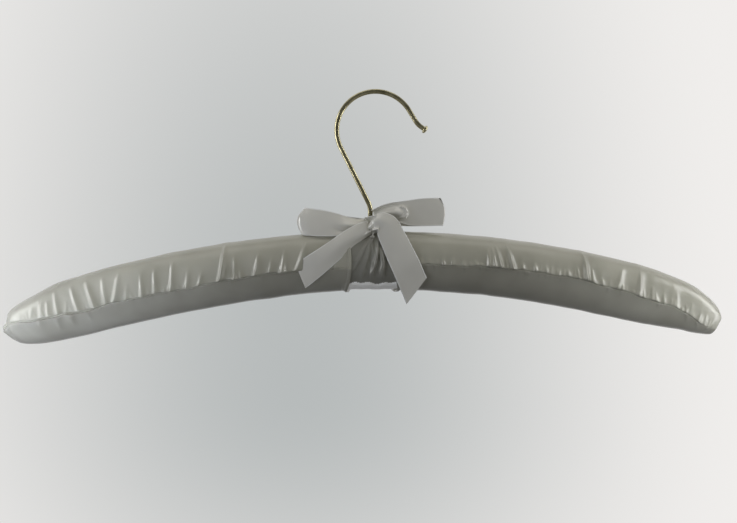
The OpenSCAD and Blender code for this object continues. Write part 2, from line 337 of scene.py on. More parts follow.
def two_tones(
    tree: bpy.types.NodeTree,
    pattern: bpy.types.NodeSocket,
    colours: tuple[str, str],
    reach: tuple[float, float, float] = (0.0, 1.0, 1.0),
) -> bpy.types.NodeSocket:
    """Blends two shades of a finish by a pattern.

    Args:
        tree: The material's node tree.
        pattern: The pattern, from 0 to 1.
        colours: The ground and the other shade, as "#RRGGBB".
        reach: Where in the pattern the blend starts and ends, and its most.

    Returns:
        The blended colour.
    """
    ranges = dict(zip(("From Min", "From Max", "To Max"), reach))
    share = add_node(tree, "ShaderNodeMapRange", ranges, {"Value": pattern})
    tone = add_node(
        tree,
        "ShaderNodeMix",
        {"A": linear(colours[0]), "B": linear(colours[1])},
        {"Factor": share.outputs["Result"]},
        data_type="RGBA",
    )
    return tone.outputs["Result"]


def coat(
    tree: bpy.types.NodeTree,
    settings: dict[str, Any],
    links: dict[str, bpy.types.NodeSocket],
) -> None:
    """Ends a finish with its surface.

    Args:
        tree: The material's node tree.
        settings: What is the same all over the surface.
        links: What a pattern drives.
    """
    shader = add_node(tree, "ShaderNodeBsdfPrincipled", settings, links)
    add_node(tree, "ShaderNodeOutputMaterial", links={"Surface": shader.outputs["BSDF"]})


@dataclass(frozen=True)
class Satin:
    """Polyester satin, woven with long floats on its face, cut and sewn.

    The floats lie side by side like combed hair, so the cloth is smooth and pearly and its
    highlights draw out into soft streaks, while the ground colour stays even.
    """

    name: str = "oyster_satin"
    colour: str = "#BAB8A7"
    shade: str = "#AEAC9B"
    roughness: float = 0.26
    ior: float = 1.5
    shine: float = 0.6
    sheen: float = 0.10
    slub_mm: tuple[float, float] = (0.8, 11.2)  # threads are 0.1 mm apart, drawn coarser to show
    slub_height_mm: float = 0.0001
    patch_mm: float = 22.0
    glow: float = 0.0  # painted glow: share of the room's light that the cloth gives off itself, standing in for light coming through a single layer
    half_width_mm: float = 0.0  # half the woven width of a ribbon, 0 for cloth without edges
    edge_mm: float = 0.55
    # painted highlight: a ribbon's edges are drawn in this near-white tone for the bright line of
    # light along them
    edge_highlight_colour: str = "#FAFAF4"

    def material(self) -> bpy.types.Material:
        """Builds the satin.

        Returns:
            The new material.
        """
        material, tree = empty_material(self.name)
        cloth = add_node(tree, "ShaderNodeUVMap", uv_map="cloth").outputs["UV"]
        # slubs: each thread is a little thicker or thinner along its length
        threads = (1.0 / (self.slub_mm[0] * MM), 1.0 / (self.slub_mm[1] * MM), 1.0)
        warp = add_node(tree, "ShaderNodeMapping", {"Scale": threads}, {"Vector": cloth})
        slubs = add_node(
            tree,
            "ShaderNodeTexNoise",
            {"Scale": 1.0, "Detail": 3.0, "Roughness": 0.6},
            {"Vector": warp.outputs["Vector"]},
            noise_dimensions="2D",
        )
        # cloth that was pressed and handled is a touch duller here and there
        patches = add_node(
            tree,
            "ShaderNodeTexNoise",
            {"Scale": 1.0 / (self.patch_mm * MM), "Detail": 2.0},
            {"Vector": cloth},
            noise_dimensions="2D",
        ).outputs["Fac"]
        colour = two_tones(tree, patches, (self.colour, self.shade), (0.35, 0.7, 1.0))
        if self.half_width_mm:
            # painted highlight: pale lines along the ribbon's edges
            colour = self.painted_edge_highlights(tree, cloth, colour)
        least, most = self.roughness - 0.006, self.roughness + 0.008
        gloss = add_node(
            tree,
            "ShaderNodeMapRange",
            {"From Min": 0.3, "From Max": 0.7, "To Min": least, "To Max": most},
            {"Value": patches},
        )
        bump = add_node(
            tree,
            "ShaderNodeBump",
            {"Strength": 1.0, "Distance": self.slub_height_mm * MM},
            {"Height": slubs.outputs["Fac"]},
        )
        coat(
            tree,
            {
                "IOR": self.ior,
                "Specular IOR Level": self.shine,
                "Sheen Weight": self.sheen,
                "Sheen Roughness": 0.4,
                "Emission Color": linear(self.colour),
                "Emission Strength": self.glow,
            },
            {
                "Base Color": colour,
                "Roughness": gloss.outputs["Result"],
                "Normal": bump.outputs["Normal"],
            },
        )
        return material

    def painted_edge_highlights(
        self,
        tree: bpy.types.NodeTree,
        cloth: bpy.types.NodeSocket,
        ground: bpy.types.NodeSocket,
    ) -> bpy.types.NodeSocket:
        """Paints highlights on a ribbon's two tightly woven edges, drawing them paler than its
        ground.

        Args:
            tree: The material's node tree.
            cloth: The cloth coordinates, with the width of the ribbon along V.
            ground: The colour of the ribbon between its edges.

        Returns:
            The colour with the painted edge highlights in it.
        """
        v = add_node(tree, "ShaderNodeSeparateXYZ", links={"Vector": cloth}).outputs["Y"]
        off = add_node(tree, "ShaderNodeMath", links={0: v}, operation="ABSOLUTE")
        inner, outer = (self.half_width_mm - share * self.edge_mm for share in (1.0, 0.6))
        edge = add_node(
            tree,
            "ShaderNodeMapRange",
            {"From Min": inner * MM, "From Max": outer * MM, "To Max": 0.8},
            {"Value": off.outputs[0]},
            interpolation_type="SMOOTHSTEP",
        )
        tone = add_node(
            tree,
            "ShaderNodeMix",
            {"B": linear(self.edge_highlight_colour)},
            {"A": ground, "Factor": edge.outputs["Result"]},
            data_type="RGBA",
        )
        return tone.outputs["Result"]


@dataclass(frozen=True)
class BrassPlate:
    """Brass-plated steel wire, drawn through a die, bent cold and lacquered.

    The thin plating under lacquer is a smooth pale gold, so the wire mirrors the bright
    sides of the room as two pale edges round a dark core, and it darkens in faint patches.
    """

    name: str = "brass_plated_wire"
    colour: str = "#BDB694"
    tarnish: str = "#7E785C"
    roughness: float = 0.19
    mottle_mm: float = 5.0

    def material(self) -> bpy.types.Material:
        """Builds the brass.

        Returns:
            The new material.
        """
        material, tree = empty_material(self.name)
        place = add_node(tree, "ShaderNodeTexCoord").outputs["Object"]
        mottle = add_node(
            tree,
            "ShaderNodeTexNoise",
            {"Scale": 1.0 / (self.mottle_mm * MM), "Detail": 4.0, "Roughness": 0.6},
            {"Vector": place},
        ).outputs["Fac"]
        tone = two_tones(tree, mottle, (self.colour, self.tarnish), (0.38, 0.7, 0.9))
        least, most = self.roughness, self.roughness + 0.07
        gloss = add_node(
            tree,
            "ShaderNodeMapRange",
            {"From Min": 0.3, "From Max": 0.7, "To Min": least, "To Max": most},
            {"Value": mottle},
        )
        coat(tree, {"Metallic": 1.0}, {"Base Color": tone, "Roughness": gloss.outputs["Result"]})
        return material


@dataclass(frozen=True)
class Grained:
    """A finish with a grain in the model's own space, for the pieces inside the covers.

    Beech is sawn along the arms, with fine pores drawn out along X. Zinc plate and turned
    brass are nearly even. Wadding is a mat of loose fibres, so it is matt and slightly lumpy.
    """

    name: str
    colour: str
    shade: str
    roughness: float
    metallic: float = 0.0
    grain_mm: tuple[float, float, float] = (1.0, 1.0, 1.0)
    grain_height_mm: float = 0.02

    def material(self) -> bpy.types.Material:
        """Builds the finish.

        Returns:
            The new material.
        """
        material, tree = empty_material(self.name)
        place = add_node(tree, "ShaderNodeTexCoord").outputs["Object"]
        scale = tuple(1.0 / (g * MM) for g in self.grain_mm)
        scaled = add_node(tree, "ShaderNodeMapping", {"Scale": scale}, {"Vector": place})
        grain = add_node(
            tree,
            "ShaderNodeTexNoise",
            {"Scale": 1.0, "Detail": 5.0, "Roughness": 0.6},
            {"Vector": scaled.outputs["Vector"]},
        ).outputs["Fac"]
        bump = add_node(
            tree,
            "ShaderNodeBump",
            {"Strength": 1.0, "Distance": self.grain_height_mm * MM},
            {"Height": grain},
        )
        tone = two_tones(tree, grain, (self.colour, self.shade))
        coat(
            tree,
            {"Metallic": self.metallic, "Roughness": self.roughness},
            {"Base Color": tone, "Normal": bump.outputs["Normal"]},
        )
        return material


# ---------------------------------------------------------------------------
# Padded arms
# ---------------------------------------------------------------------------

Curve = tuple[tuple[float, float], ...]


def read_curve(line: Curve, x: np.ndarray) -> np.ndarray:
    """Reads a crisp curve of places and heights at the places x."""
    return spline([k[0] for k in line], [k[1] for k in line], x, True)


@dataclass(frozen=True)
class Pleat:
    """One gather that rises from a seam.

    Attributes:
        place: Where it meets the seam, in mm along the arm from the middle.
        reach: How far it runs from the seam, in mm; below the seam if negative.
        lean: How far it drifts outwards along the arm over its reach, in mm.
        height: How far it stands up, in mm.
        width: Half its width, in mm.
    """

    place: float
    reach: float
    lean: float
    height: float
    width: float


def gathers(*rows: tuple[float, float, float, float, float]) -> tuple[Pleat, ...]:
    """Turns rows of place, reach, lean, height and width into gathers."""
    return tuple(Pleat(*row) for row in rows)


@dataclass(frozen=True)
class ArmForm:
    """The arched form that both arms and the centre wrap share, as in the model."""

    bow_radius: float = 0.540
    crown_z: float = -0.0725
    half_height: float = 0.0155
    half_depth: float = 0.0145
    overall_half: float = 0.190

    @property
    def mid_z(self) -> float:
        """Height of the mid-line in the middle."""
        return self.crown_z - self.half_height

    @property
    def tip_mm(self) -> float:
        """Length of the mid-line out to the tip."""
        return self.bow_radius * math.asin(self.overall_half / self.bow_radius) / MM

    def place(
        self, side: Side, s: np.ndarray, up: np.ndarray, back: np.ndarray
    ) -> np.ndarray:
        """Turns arm coordinates into points.

        Args:
            side: Which arm.
            s: Length along the mid-line.
            up: Height above the mid-line, square to it.
            back: Distance behind the middle plane.

        Returns:
            Points, with the coordinates in the last axis.
        """
        angle = s / self.bow_radius
        radius = self.bow_radius + up
        x = side.value * radius * np.sin(angle)
        z = self.mid_z - self.bow_radius + radius * np.cos(angle)
        return np.stack([x, np.broadcast_to(back, x.shape), z], axis=-1)


@dataclass(frozen=True)
class ArmCut:
    """How one arm's cover is cut and sewn.

    Curves are lists of places along the arm and heights from its mid-line, in mm.

    Attributes:
        crown: The top edge near the tip.
        belly: The bottom edge near the tip, as depth below the mid-line.
        front_seam: The seam on the front.
        back_seam: The seam on the back.
        pleats: The gathers that stand out on the front.
        end_depth_mm: How thick the sewn end is from front to back.
        seed: Seed of the small gathers.
        nub_mm: Length of the knob that the gathered seams make at the tip, if there is one.
        groove_mm: How deep the stitches draw the seam in.
        puckers: How strong the small gathers are, 1 being usual.
    """

    crown: Curve
    belly: Curve
    front_seam: Curve
    back_seam: Curve
    pleats: tuple[Pleat, ...]
    end_depth_mm: float
    seed: int
    nub_mm: float = 0.0
    groove_mm: float = 0.40
    puckers: float = 1.0

    @property
    def tip_mm(self) -> float:
        """Length out to the cover's own tip."""
        return max(self.crown[-1][0], self.belly[-1][0])


@dataclass
class PaddedArm:
    """One arm's satin cover over wadding: a gathered upper panel sewn to a flat lower one.

    Attributes:
        start_mm: Where the cover's open end lies along the arm.
        hem_mm: Width of the hem.
        hem_rise_mm: How far the hem stands up.
        droop_mm: How far the folded edge drops away under the arm.
        droop_deg: Where it does so, as an angle round the arm.
        fold_in_mm: How far in, and how far beyond the open end, the hem's inner rows lie.
        welt_mm: Height and reach of the welt that the seam allowance makes.
        stitch_mm: Length of a stitch, and half the width of the line it pulls in.
        swells: How many slow swellings the wadding has.
        swell_share: Their height over their length.
        nose_from_mm: Where the arm starts to thin out towards its tip.
        nose_mm: Length of the rounded tip.
        full_mm: Half height from which the arm has room for its full gathers.
    """

    side: Side
    form: ArmForm
    cut: ArmCut
    satin: bpy.types.Material
    # painted shade: the lower panel's satin is a darker copy of the cover satin, for the shade
    # under the arm
    shaded_panel_satin: bpy.types.Material
    start_mm: float = 12.0
    hem_mm: float = 1.3
    hem_rise_mm: float = 0.42
    droop_mm: float = 0.9
    droop_deg: float = 292.0
    fold_in_mm: tuple[tuple[float, float], ...] = ((1.4, -0.6), (0.35, 0.25))
    welt_mm: tuple[float, float] = (0.42, 2.0)
    stitch_mm: tuple[float, float] = (2.4, 0.34)
    swells: int = 16
    swell_share: float = 0.0011
    nose_from_mm: float = 150.0
    nose_mm: float = 14.0
    full_mm: float = 9.0
    rows: int = 740
    upper_columns: int = 84
    lower_columns: int = 46

    def small_gathers(self, seed: int) -> list[Pleat]:
        """Irregular small gathers that the stitching leaves all along a seam.

        Args:
            seed: Seed of their places and sizes.

        Returns:
            The gathers, above and below the seam.
        """
        chance = random.Random(seed)
        draw = chance.uniform
        small: list[Pleat] = []
        s = self.start_mm + 5.0
        while s < self.form.tip_mm - 5.0:
            s += draw(1.6, 4.4)
            height = self.cut.puckers * draw(0.14, 0.60)
            small.append(Pleat(s, draw(1.8, 5.0), draw(-1.4, 1.0), height, draw(0.6, 1.05)))
            if chance.random() < 0.55:
                place, reach = s + draw(-1.0, 1.0), -draw(1.2, 3.2)
                small.append(
                    Pleat(place, reach, draw(-0.8, 0.8), draw(0.14, 0.50), draw(0.6, 1.0))
                )
            if chance.random() < 0.3:
                small.append(
                    Pleat(s, draw(9.0, 20.0), draw(-4.0, 4.0), draw(0.08, 0.22), draw(1.2, 2.4))
                )
        return small

    def back_pleats(self) -> list[Pleat]:
        """Larger gathers on the back, where they fall at random.

        Returns:
            The gathers.
        """
        draw = random.Random(self.cut.seed + 500).uniform
        large: list[Pleat] = []
        s = self.start_mm + 14.0
        while s < self.form.tip_mm - 16.0:
            s += draw(5.0, 15.0)
            large.append(
                Pleat(s, draw(7.0, 17.0), draw(-4.0, 4.0), draw(0.5, 0.9), draw(0.8, 1.1))
            )
        return large

    def gathered(
        self, s_mm: np.ndarray, off_mm: np.ndarray, pleats: Sequence[Pleat]
    ) -> np.ndarray:
        """How far the satin stands up along one seam.

        Args:
            s_mm: Length along the arm in mm.
            off_mm: Distance from the seam over the cloth, in mm, positive above it.
            pleats: The gathers of this seam.

        Returns:
            Offsets in mm.
        """
        ends = smooth_step(s_mm, self.start_mm + 1.0, self.start_mm + 6.0)
        # the seam allowance inside makes a low welt, and the stitches pull a line into it
        welt, reach = self.welt_mm
        length, half = self.stitch_mm
        stitch = 0.5 + 0.5 * np.cos(2 * math.pi * s_mm / length)
        groove = self.cut.groove_mm * (1.0 + 0.6 * stitch) * np.exp(-((off_mm / half) ** 2))
        relief = ends * (welt * np.exp(-np.abs(off_mm) / reach) - groove)
        for pleat in pleats:
            near = np.abs(s_mm[:, 0] - pleat.place) < 12.0 + abs(pleat.lean) + 3 * pleat.width
            s, off = s_mm[near], off_mm[near]
            along = off * math.copysign(1.0, pleat.reach)
            share = np.clip(along / abs(pleat.reach), 0.0, 1.0)
            grow = 1.0 - np.exp(-np.clip(along, 0.0, None) / 0.5)
            fade = (1.0 - share**1.8) * (1.0 - 0.35 * share)
            across = s - (pleat.place + pleat.lean * share**0.6)
            across = across / (pleat.width * (1.15 - 0.5 * share))
            # a gather falls more steeply on its left than on its right
            steep = np.where(across * self.side.value > 0, 0.6, 1.1)
            ridge = pleat.height * fade * np.exp(-(np.abs(across * steep) ** 1.8))
            # the cloth beside each pleat is drawn up with it in a low, wide swell
            far = np.clip(along / (1.7 * abs(pleat.reach) + 3.0), 0.0, 1.0)
            swell = 0.32 * pleat.height * (1.0 - far) * np.exp(-((across / 3.4) ** 2))
            relief[near] += grow * (ridge + swell) * ends[near]
        return relief

    def rolling(self, s_mm: np.ndarray, off_mm: np.ndarray) -> np.ndarray:
        """Slow swellings of the wadding under the satin.

        Args:
            s_mm: Length along the arm in mm.
            off_mm: Distance from the front seam in mm.

        Returns:
            Offsets in mm.
        """
        draw = random.Random(self.cut.seed + 90).uniform
        relief = np.zeros_like(s_mm)
        for _ in range(self.swells):
            wave, turn = draw(9.0, 38.0), draw(-0.5, 0.5)
            run = s_mm * math.cos(turn) + off_mm * math.sin(turn)
            relief += self.swell_share * wave * np.sin(2 * math.pi * run / wave + draw(0.0, 6.3))
        return relief

    def seam_turn(
        self, line: Curve, s: np.ndarray, high: np.ndarray, low: np.ndarray
    ) -> np.ndarray:
        """Angle of a seam above the middle plane, with the small wander of real stitching.

        Args:
            line: The seam's curve.
            s: Places along the arm, in mm.
            high: Height of the crown above the mid-line there.
            low: Depth of the belly below it.

        Returns:
            Angles as seen along the arm.
        """
        tip = self.form.tip_mm
        wander = 0.16 * np.sin(s / 1.9 + self.cut.seed) + 0.22 * np.sin(s / 4.3 + 1.0)
        height = read_curve(line, s) + wander * (1.0 - smooth_step(s, tip - 16.0, tip - 6.0))
        return np.arcsin(np.clip(height / np.where(height > 0, high, low), -0.9, 0.9))

    def nub(self, past: np.ndarray, turn: np.ndarray, *offs: np.ndarray) -> np.ndarray:
        """How the knob at the tip is pinched off and split by the seams into two lobes.

        Args:
            past: Distance beyond the start of the knob, in mm.
            turn: Angle round the arm.
            offs: Distances from the two seams, in mm.

        Returns:
            Offsets in mm.
        """
        relief = -0.6 * np.exp(-((past / 0.8) ** 2)) * np.abs(np.cos(turn))
        for off in offs:
            relief -= 0.4 * smooth_step(past, 0.2, 1.2) * np.exp(-((off / 0.8) ** 2))
        return relief

    def sections(self) -> tuple[np.ndarray, np.ndarray, np.ndarray, np.ndarray]:
        """Lays out cross-sections along the arm, closer together in the rounded tip.

        Returns:
            Their places, heights above and depths below the mid-line in mm, and half their
            thickness in metres.
        """
        cut, tip = self.cut, self.cut.tip_mm
        nose = tip - self.nose_mm
        count = int(self.rows * 0.88)
        round_end = np.sin(np.linspace(0, math.pi / 2, self.rows - count + 1)[1:])
        s = np.concatenate(
            [np.linspace(self.start_mm, nose, count), nose + self.nose_mm * round_end]
        )
        q = np.clip((s - self.nose_from_mm) / (tip - self.nose_from_mm), 0.0, 1.0)
        end = cut.end_depth_mm * MM / 2
        thin = np.sqrt(np.clip(1.0 - q**3.6, 0.0, 1.0))
        deep = end + (self.form.half_depth - end) * thin
        return s, read_curve(cut.crown, s), read_curve(cut.belly, s), deep

    def turns(self, s: np.ndarray, high: np.ndarray, low: np.ndarray) -> np.ndarray:
        """Lays out angles round the arm, closer together at both seams.

        Args:
            s: Places along the arm, in mm.
            high: Height of the crown above the mid-line there.
            low: Depth of the belly below it.

        Returns:
            Angles for each place, from the front seam over the top and round.
        """
        front = self.seam_turn(self.cut.front_seam, s, high, low)[:, None]
        back = math.pi - self.seam_turn(self.cut.back_seam, s, high, low)[:, None]
        over = spread(self.upper_columns, 50.0, 0.16, 0.5, 4.0)[None, :-1]
        under = spread(self.lower_columns, 44.0, 0.18, 0.8, 4.0)[None, :-1]
        return np.concatenate(
            [front + (back - front) * over, back + (front + 2 * math.pi - back) * under],
            axis=1,
        )

    def over_cloth(self, points: np.ndarray) -> tuple[np.ndarray, np.ndarray, np.ndarray]:
        """Measures distances round the arm over its cloth.

        Args:
            points: The cover before it is gathered.

        Returns:
            Distances in mm: once round, from the front seam, and from the back seam.
        """
        closed = np.concatenate([points, points[:, :1]], axis=1)
        steps = np.linalg.norm(np.diff(closed, axis=1), axis=2) / MM
        run = np.concatenate([np.zeros((len(points), 1)), np.cumsum(steps, axis=1)], axis=1)
        k = self.upper_columns - 1
        total, to_back = run[:, -1:], run[:, k : k + 1]
        run = run[:, :-1]
        is_upper = np.arange(run.shape[1])[None, :] <= k
        return run, np.where(is_upper, run, run - total), to_back - run

    def relief(
        self,
        s: np.ndarray,
        turn: np.ndarray,
        narrow: np.ndarray,
        front: np.ndarray,
        back: np.ndarray,
    ) -> tuple[np.ndarray, np.ndarray]:
        """Adds up all that the gathers, the wadding, the knob and the hem do to the cover.

        Args:
            s: Length along the arm in mm.
            turn: Angle round the arm.
            narrow: Share of the gathers that the thin end of the arm has room for.
            front: Distance from the front seam in mm.
            back: Distance from the back seam in mm.

        Returns:
            How far the satin stands up and how far it moves along the arm, in mm.
        """
        cut, start = self.cut, self.start_mm
        front_pleats = [*cut.pleats, *self.small_gathers(cut.seed)]
        back_pleats = [*self.back_pleats(), *self.small_gathers(cut.seed + 7)]
        relief = self.gathered(s, front, front_pleats) + self.gathered(s, back, back_pleats)
        relief += self.rolling(s, front)
        relief *= narrow
        if cut.nub_mm:
            relief += self.nub(s - (cut.tip_mm - cut.nub_mm), turn, front, back)
        hem = start + self.hem_mm
        relief += self.hem_rise_mm * (1.0 - smooth_step(s, hem, hem + 0.5))
        # the folded edge drops away and flares a little where it turns under the arm
        early = 1.0 - smooth_step(s, start, start + 9.0)
        droop = np.exp(-(((np.degrees(turn) % 360.0 - self.droop_deg) / 20.0) ** 2))
        relief += self.droop_mm * early * droop * (1.0 - smooth_step(s, hem, hem + 3.0))
        return relief, early * (1.5 * droop + 0.35 * np.sin(3.0 * turn + cut.seed))

    def build(self) -> bpy.types.Object:
        """Builds the sleeve of satin.

        Returns:
            The cover.
        """
        places, high, low, deep = self.sections()
        turn = self.turns(places, high, low)
        columns, k = turn.shape[1], self.upper_columns - 1
        s = np.repeat(places[:, None], columns, axis=1)
        rise = np.sin(turn)
        up = np.where(rise > 0, high[:, None], low[:, None]) * MM * rise
        behind = -deep[:, None] * np.cos(turn)
        run, front, back = self.over_cloth(self.form.place(self.side, s * MM, up, behind))
        narrow = np.clip(np.minimum(high, low) / self.full_mm, 0.0, 1.0)[:, None]
        relief, flare = self.relief(s, turn, narrow, front, back)
        points = self.form.place(self.side, (s + flare) * MM, up, behind)
        along = np.gradient(points, axis=0)
        around = np.roll(points, -1, axis=1) - np.roll(points, 1, axis=1)
        normal = unit(np.cross(along, around)) * self.side.value
        points = points + normal * (relief * MM)[..., None]

        # the hem is folded in: two more rows stand for its rolled edge
        heading = unit(points[0] - points[1])
        lip = [
            points[0] - normal[0] * inset * MM + heading * out * MM
            for inset, out in self.fold_in_mm
        ]
        points = np.concatenate([np.array(lip), points], axis=0)
        uv = np.stack([s * MM, run * MM], axis=-1)
        uv = np.concatenate([uv[:1] - 0.001, uv[:1] - 0.0004, uv], axis=0)

        # a last point closes the tip
        rows, last = len(points), (len(points) - 1) * columns
        corners = np.vstack([points.reshape(-1, 3), points[-1].mean(axis=0, keepdims=True)])
        corners_uv = np.vstack([uv.reshape(-1, 2), [[self.cut.tip_mm * MM, 0.0]]])
        faces = grid_faces(rows, columns, True)
        faces += [(last + c, last + (c + 1) % columns, len(corners) - 1) for c in range(columns)]
        if self.side is Side.LEFT:
            faces = [tuple(reversed(f)) for f in faces]
        name = self.side.name.lower()
        piece = make_piece(f"{name}_satin_cover", corners, faces, self.satin, corners_uv)
        # painted shade: the lower panel gets a darker copy of the satin, for the shade that falls
        # under the arm
        lower = np.zeros((rows, columns), bool)
        lower[:-1, k:-1] = True
        add_finish(piece, self.shaded_panel_satin, lower)
        seat(piece, Body.HANGER, "satin", f"{name}_cover")
        return piece


# ---------------------------------------------------------------------------
# Centre wrap
# ---------------------------------------------------------------------------


@dataclass(frozen=True)
class WrapFold:
    """One fold of the centre wrap.

    Attributes:
        head: Where it leaves the knot, in mm along the arms.
        foot: Where it has got to 34 mm down the front, in mm along the arms.
        start: How far down the front it begins, in mm.
        end: How far down the front it dies away, in mm.
        height: How far it stands up, in mm.
        width: Half its width, in mm.
    """

    head: float
    foot: float
    start: float
    end: float
    height: float
    width: float


@dataclass
class CentreWrap:
    """The band of satin that is wound round the middle and drawn up into the knot.

    Attributes:
        half_mm: Half the width of the band.
        inset_mm: How far it lies inside the form of the arms.
        roll_mm: How far its loose lower edge hangs out as a roll.
        roll_deg: Where the roll starts and ends, as angles below the front.
    """

    form: ArmForm
    # painted shade: the band's satin is drawn darker than the covers' satin, for the shade of the
    # bow over it
    satin: bpy.types.Material
    # painted light: the roll's satin is near white and glows a little, for the room's light coming
    # through it
    painted_glow_satin: bpy.types.Material
    half_mm: float = 14.0
    inset_mm: float = 0.75
    roll_mm: float = 2.1
    roll_deg: tuple[float, float] = (54.0, 125.0)
    folds: tuple[WrapFold, ...] = (
        WrapFold(1.1, -13.9, 10.0, 31.0, 0.7, 1.3),
        WrapFold(0.0, -6.1, 11.0, 38.0, 0.8, 1.3),
        WrapFold(-1.1, 1.2, 11.0, 27.0, 0.5, 0.8),
        WrapFold(3.8, -0.8, 13.0, 33.0, 2.1, 1.0),
        WrapFold(3.4, 5.2, 18.0, 34.0, 2.2, 1.5),
        WrapFold(3.6, 12.0, 9.0, 36.0, 0.5, 1.4),
    )
    rows: int = 150
    columns: int = 260

    def folded(self, s: np.ndarray, down: np.ndarray) -> np.ndarray:
        """How far the folds stand up on the front and on the back.

        Args:
            s: Length along the arms in mm.
            down: Distance from the crown in mm, positive on the front.

        Returns:
            Offsets in mm.
        """
        relief = np.zeros_like(down)
        for side in (1.0, -1.0):
            reach = np.clip(down * side, 0.0, None)
            share = np.clip((reach - 9.0) / 25.0, 0.0, 1.2)
            for fold in self.folds:
                middle = side * (fold.head + (fold.foot - fold.head) * share)
                middle = middle + 0.3 * np.sin(reach / 2.7 + fold.foot)
                across = (s - middle) / (fold.width * (0.55 + 0.5 * share))
                fade = smooth_step(reach, fold.start - 3.0, fold.start + 4.0)
                fade *= 1.0 - smooth_step(reach, fold.end - 7.0, fold.end + 3.0)
                skew = across * np.where(across > 0, 1.25, 0.8)
                relief += fold.height * fade * np.exp(-(skew**2))
        return relief

    def build(self) -> bpy.types.Object:
        """Builds the wound band.

        Returns:
            The wrap.
        """
        form = self.form
        s, turn = np.meshgrid(
            np.linspace(-self.half_mm, self.half_mm, self.rows),
            np.linspace(0.0, 2.0 * math.pi, self.columns, endpoint=False),
            indexing="ij",
        )
        # turn runs from the front over the top, and from_crown from the crown to the front
        mean = 0.5 * (form.half_height + form.half_depth) / MM
        from_crown = (math.pi / 2 - turn + math.pi) % (2 * math.pi) - math.pi
        relief = self.folded(s, from_crown * mean)
        # the band is slack under the arms, so its lower edge hangs as a small roll
        below = np.degrees(turn)
        below = np.where(below > 180.0, 360.0 - below, -below)
        sag = 3.0 * np.sin(s / 3.1 + 0.6) + 2.0 * np.sin(s / 1.3)
        start, end = self.roll_deg
        relief += self.roll_mm * np.exp(-(((below - start - 12.0 - sag) / 12.0) ** 4))
        half_h = form.half_height + (relief - self.inset_mm) * MM
        half_d = form.half_depth + (relief - self.inset_mm) * MM
        half_h = np.minimum(half_h, form.half_height + 0.2 * MM)
        points = form.place(Side.RIGHT, s * MM, half_h * np.sin(turn), -half_d * np.cos(turn))
        uv = np.stack([turn * mean * MM, s * MM], axis=-1)
        faces = grid_faces(self.rows, self.columns, True)
        piece = make_piece("wound_centre_wrap", points, faces, self.satin, uv)
        # painted light: the roll is one layer of cloth and gets a near-white satin that glows a
        # little, for the room's light coming through it, while the rest of the band keeps its
        # darker painted-shade satin
        painted_glow = (below - sag > start - 1.0) & (below < end)
        add_finish(piece, self.painted_glow_satin, painted_glow[:-1])
        thicken(piece, 0.3 * MM, -1.0)
        seat(piece, Body.HANGER, "satin", "centre_wrap")
        return piece


# ---------------------------------------------------------------------------
# Ribbon bow
# ---------------------------------------------------------------------------


@dataclass(frozen=True)
class Station:
    """A place along a ribbon.

    Attributes:
        at: The middle of the ribbon, in mm.
        across: The way from its lower or left edge to its other edge.
        width: Its gathered width there, in mm.
        cup: How far its edges stand back from its middle, in mm.
    """

    at: tuple[float, float, float]
    across: tuple[float, float, float]
    width: float
    cup: float


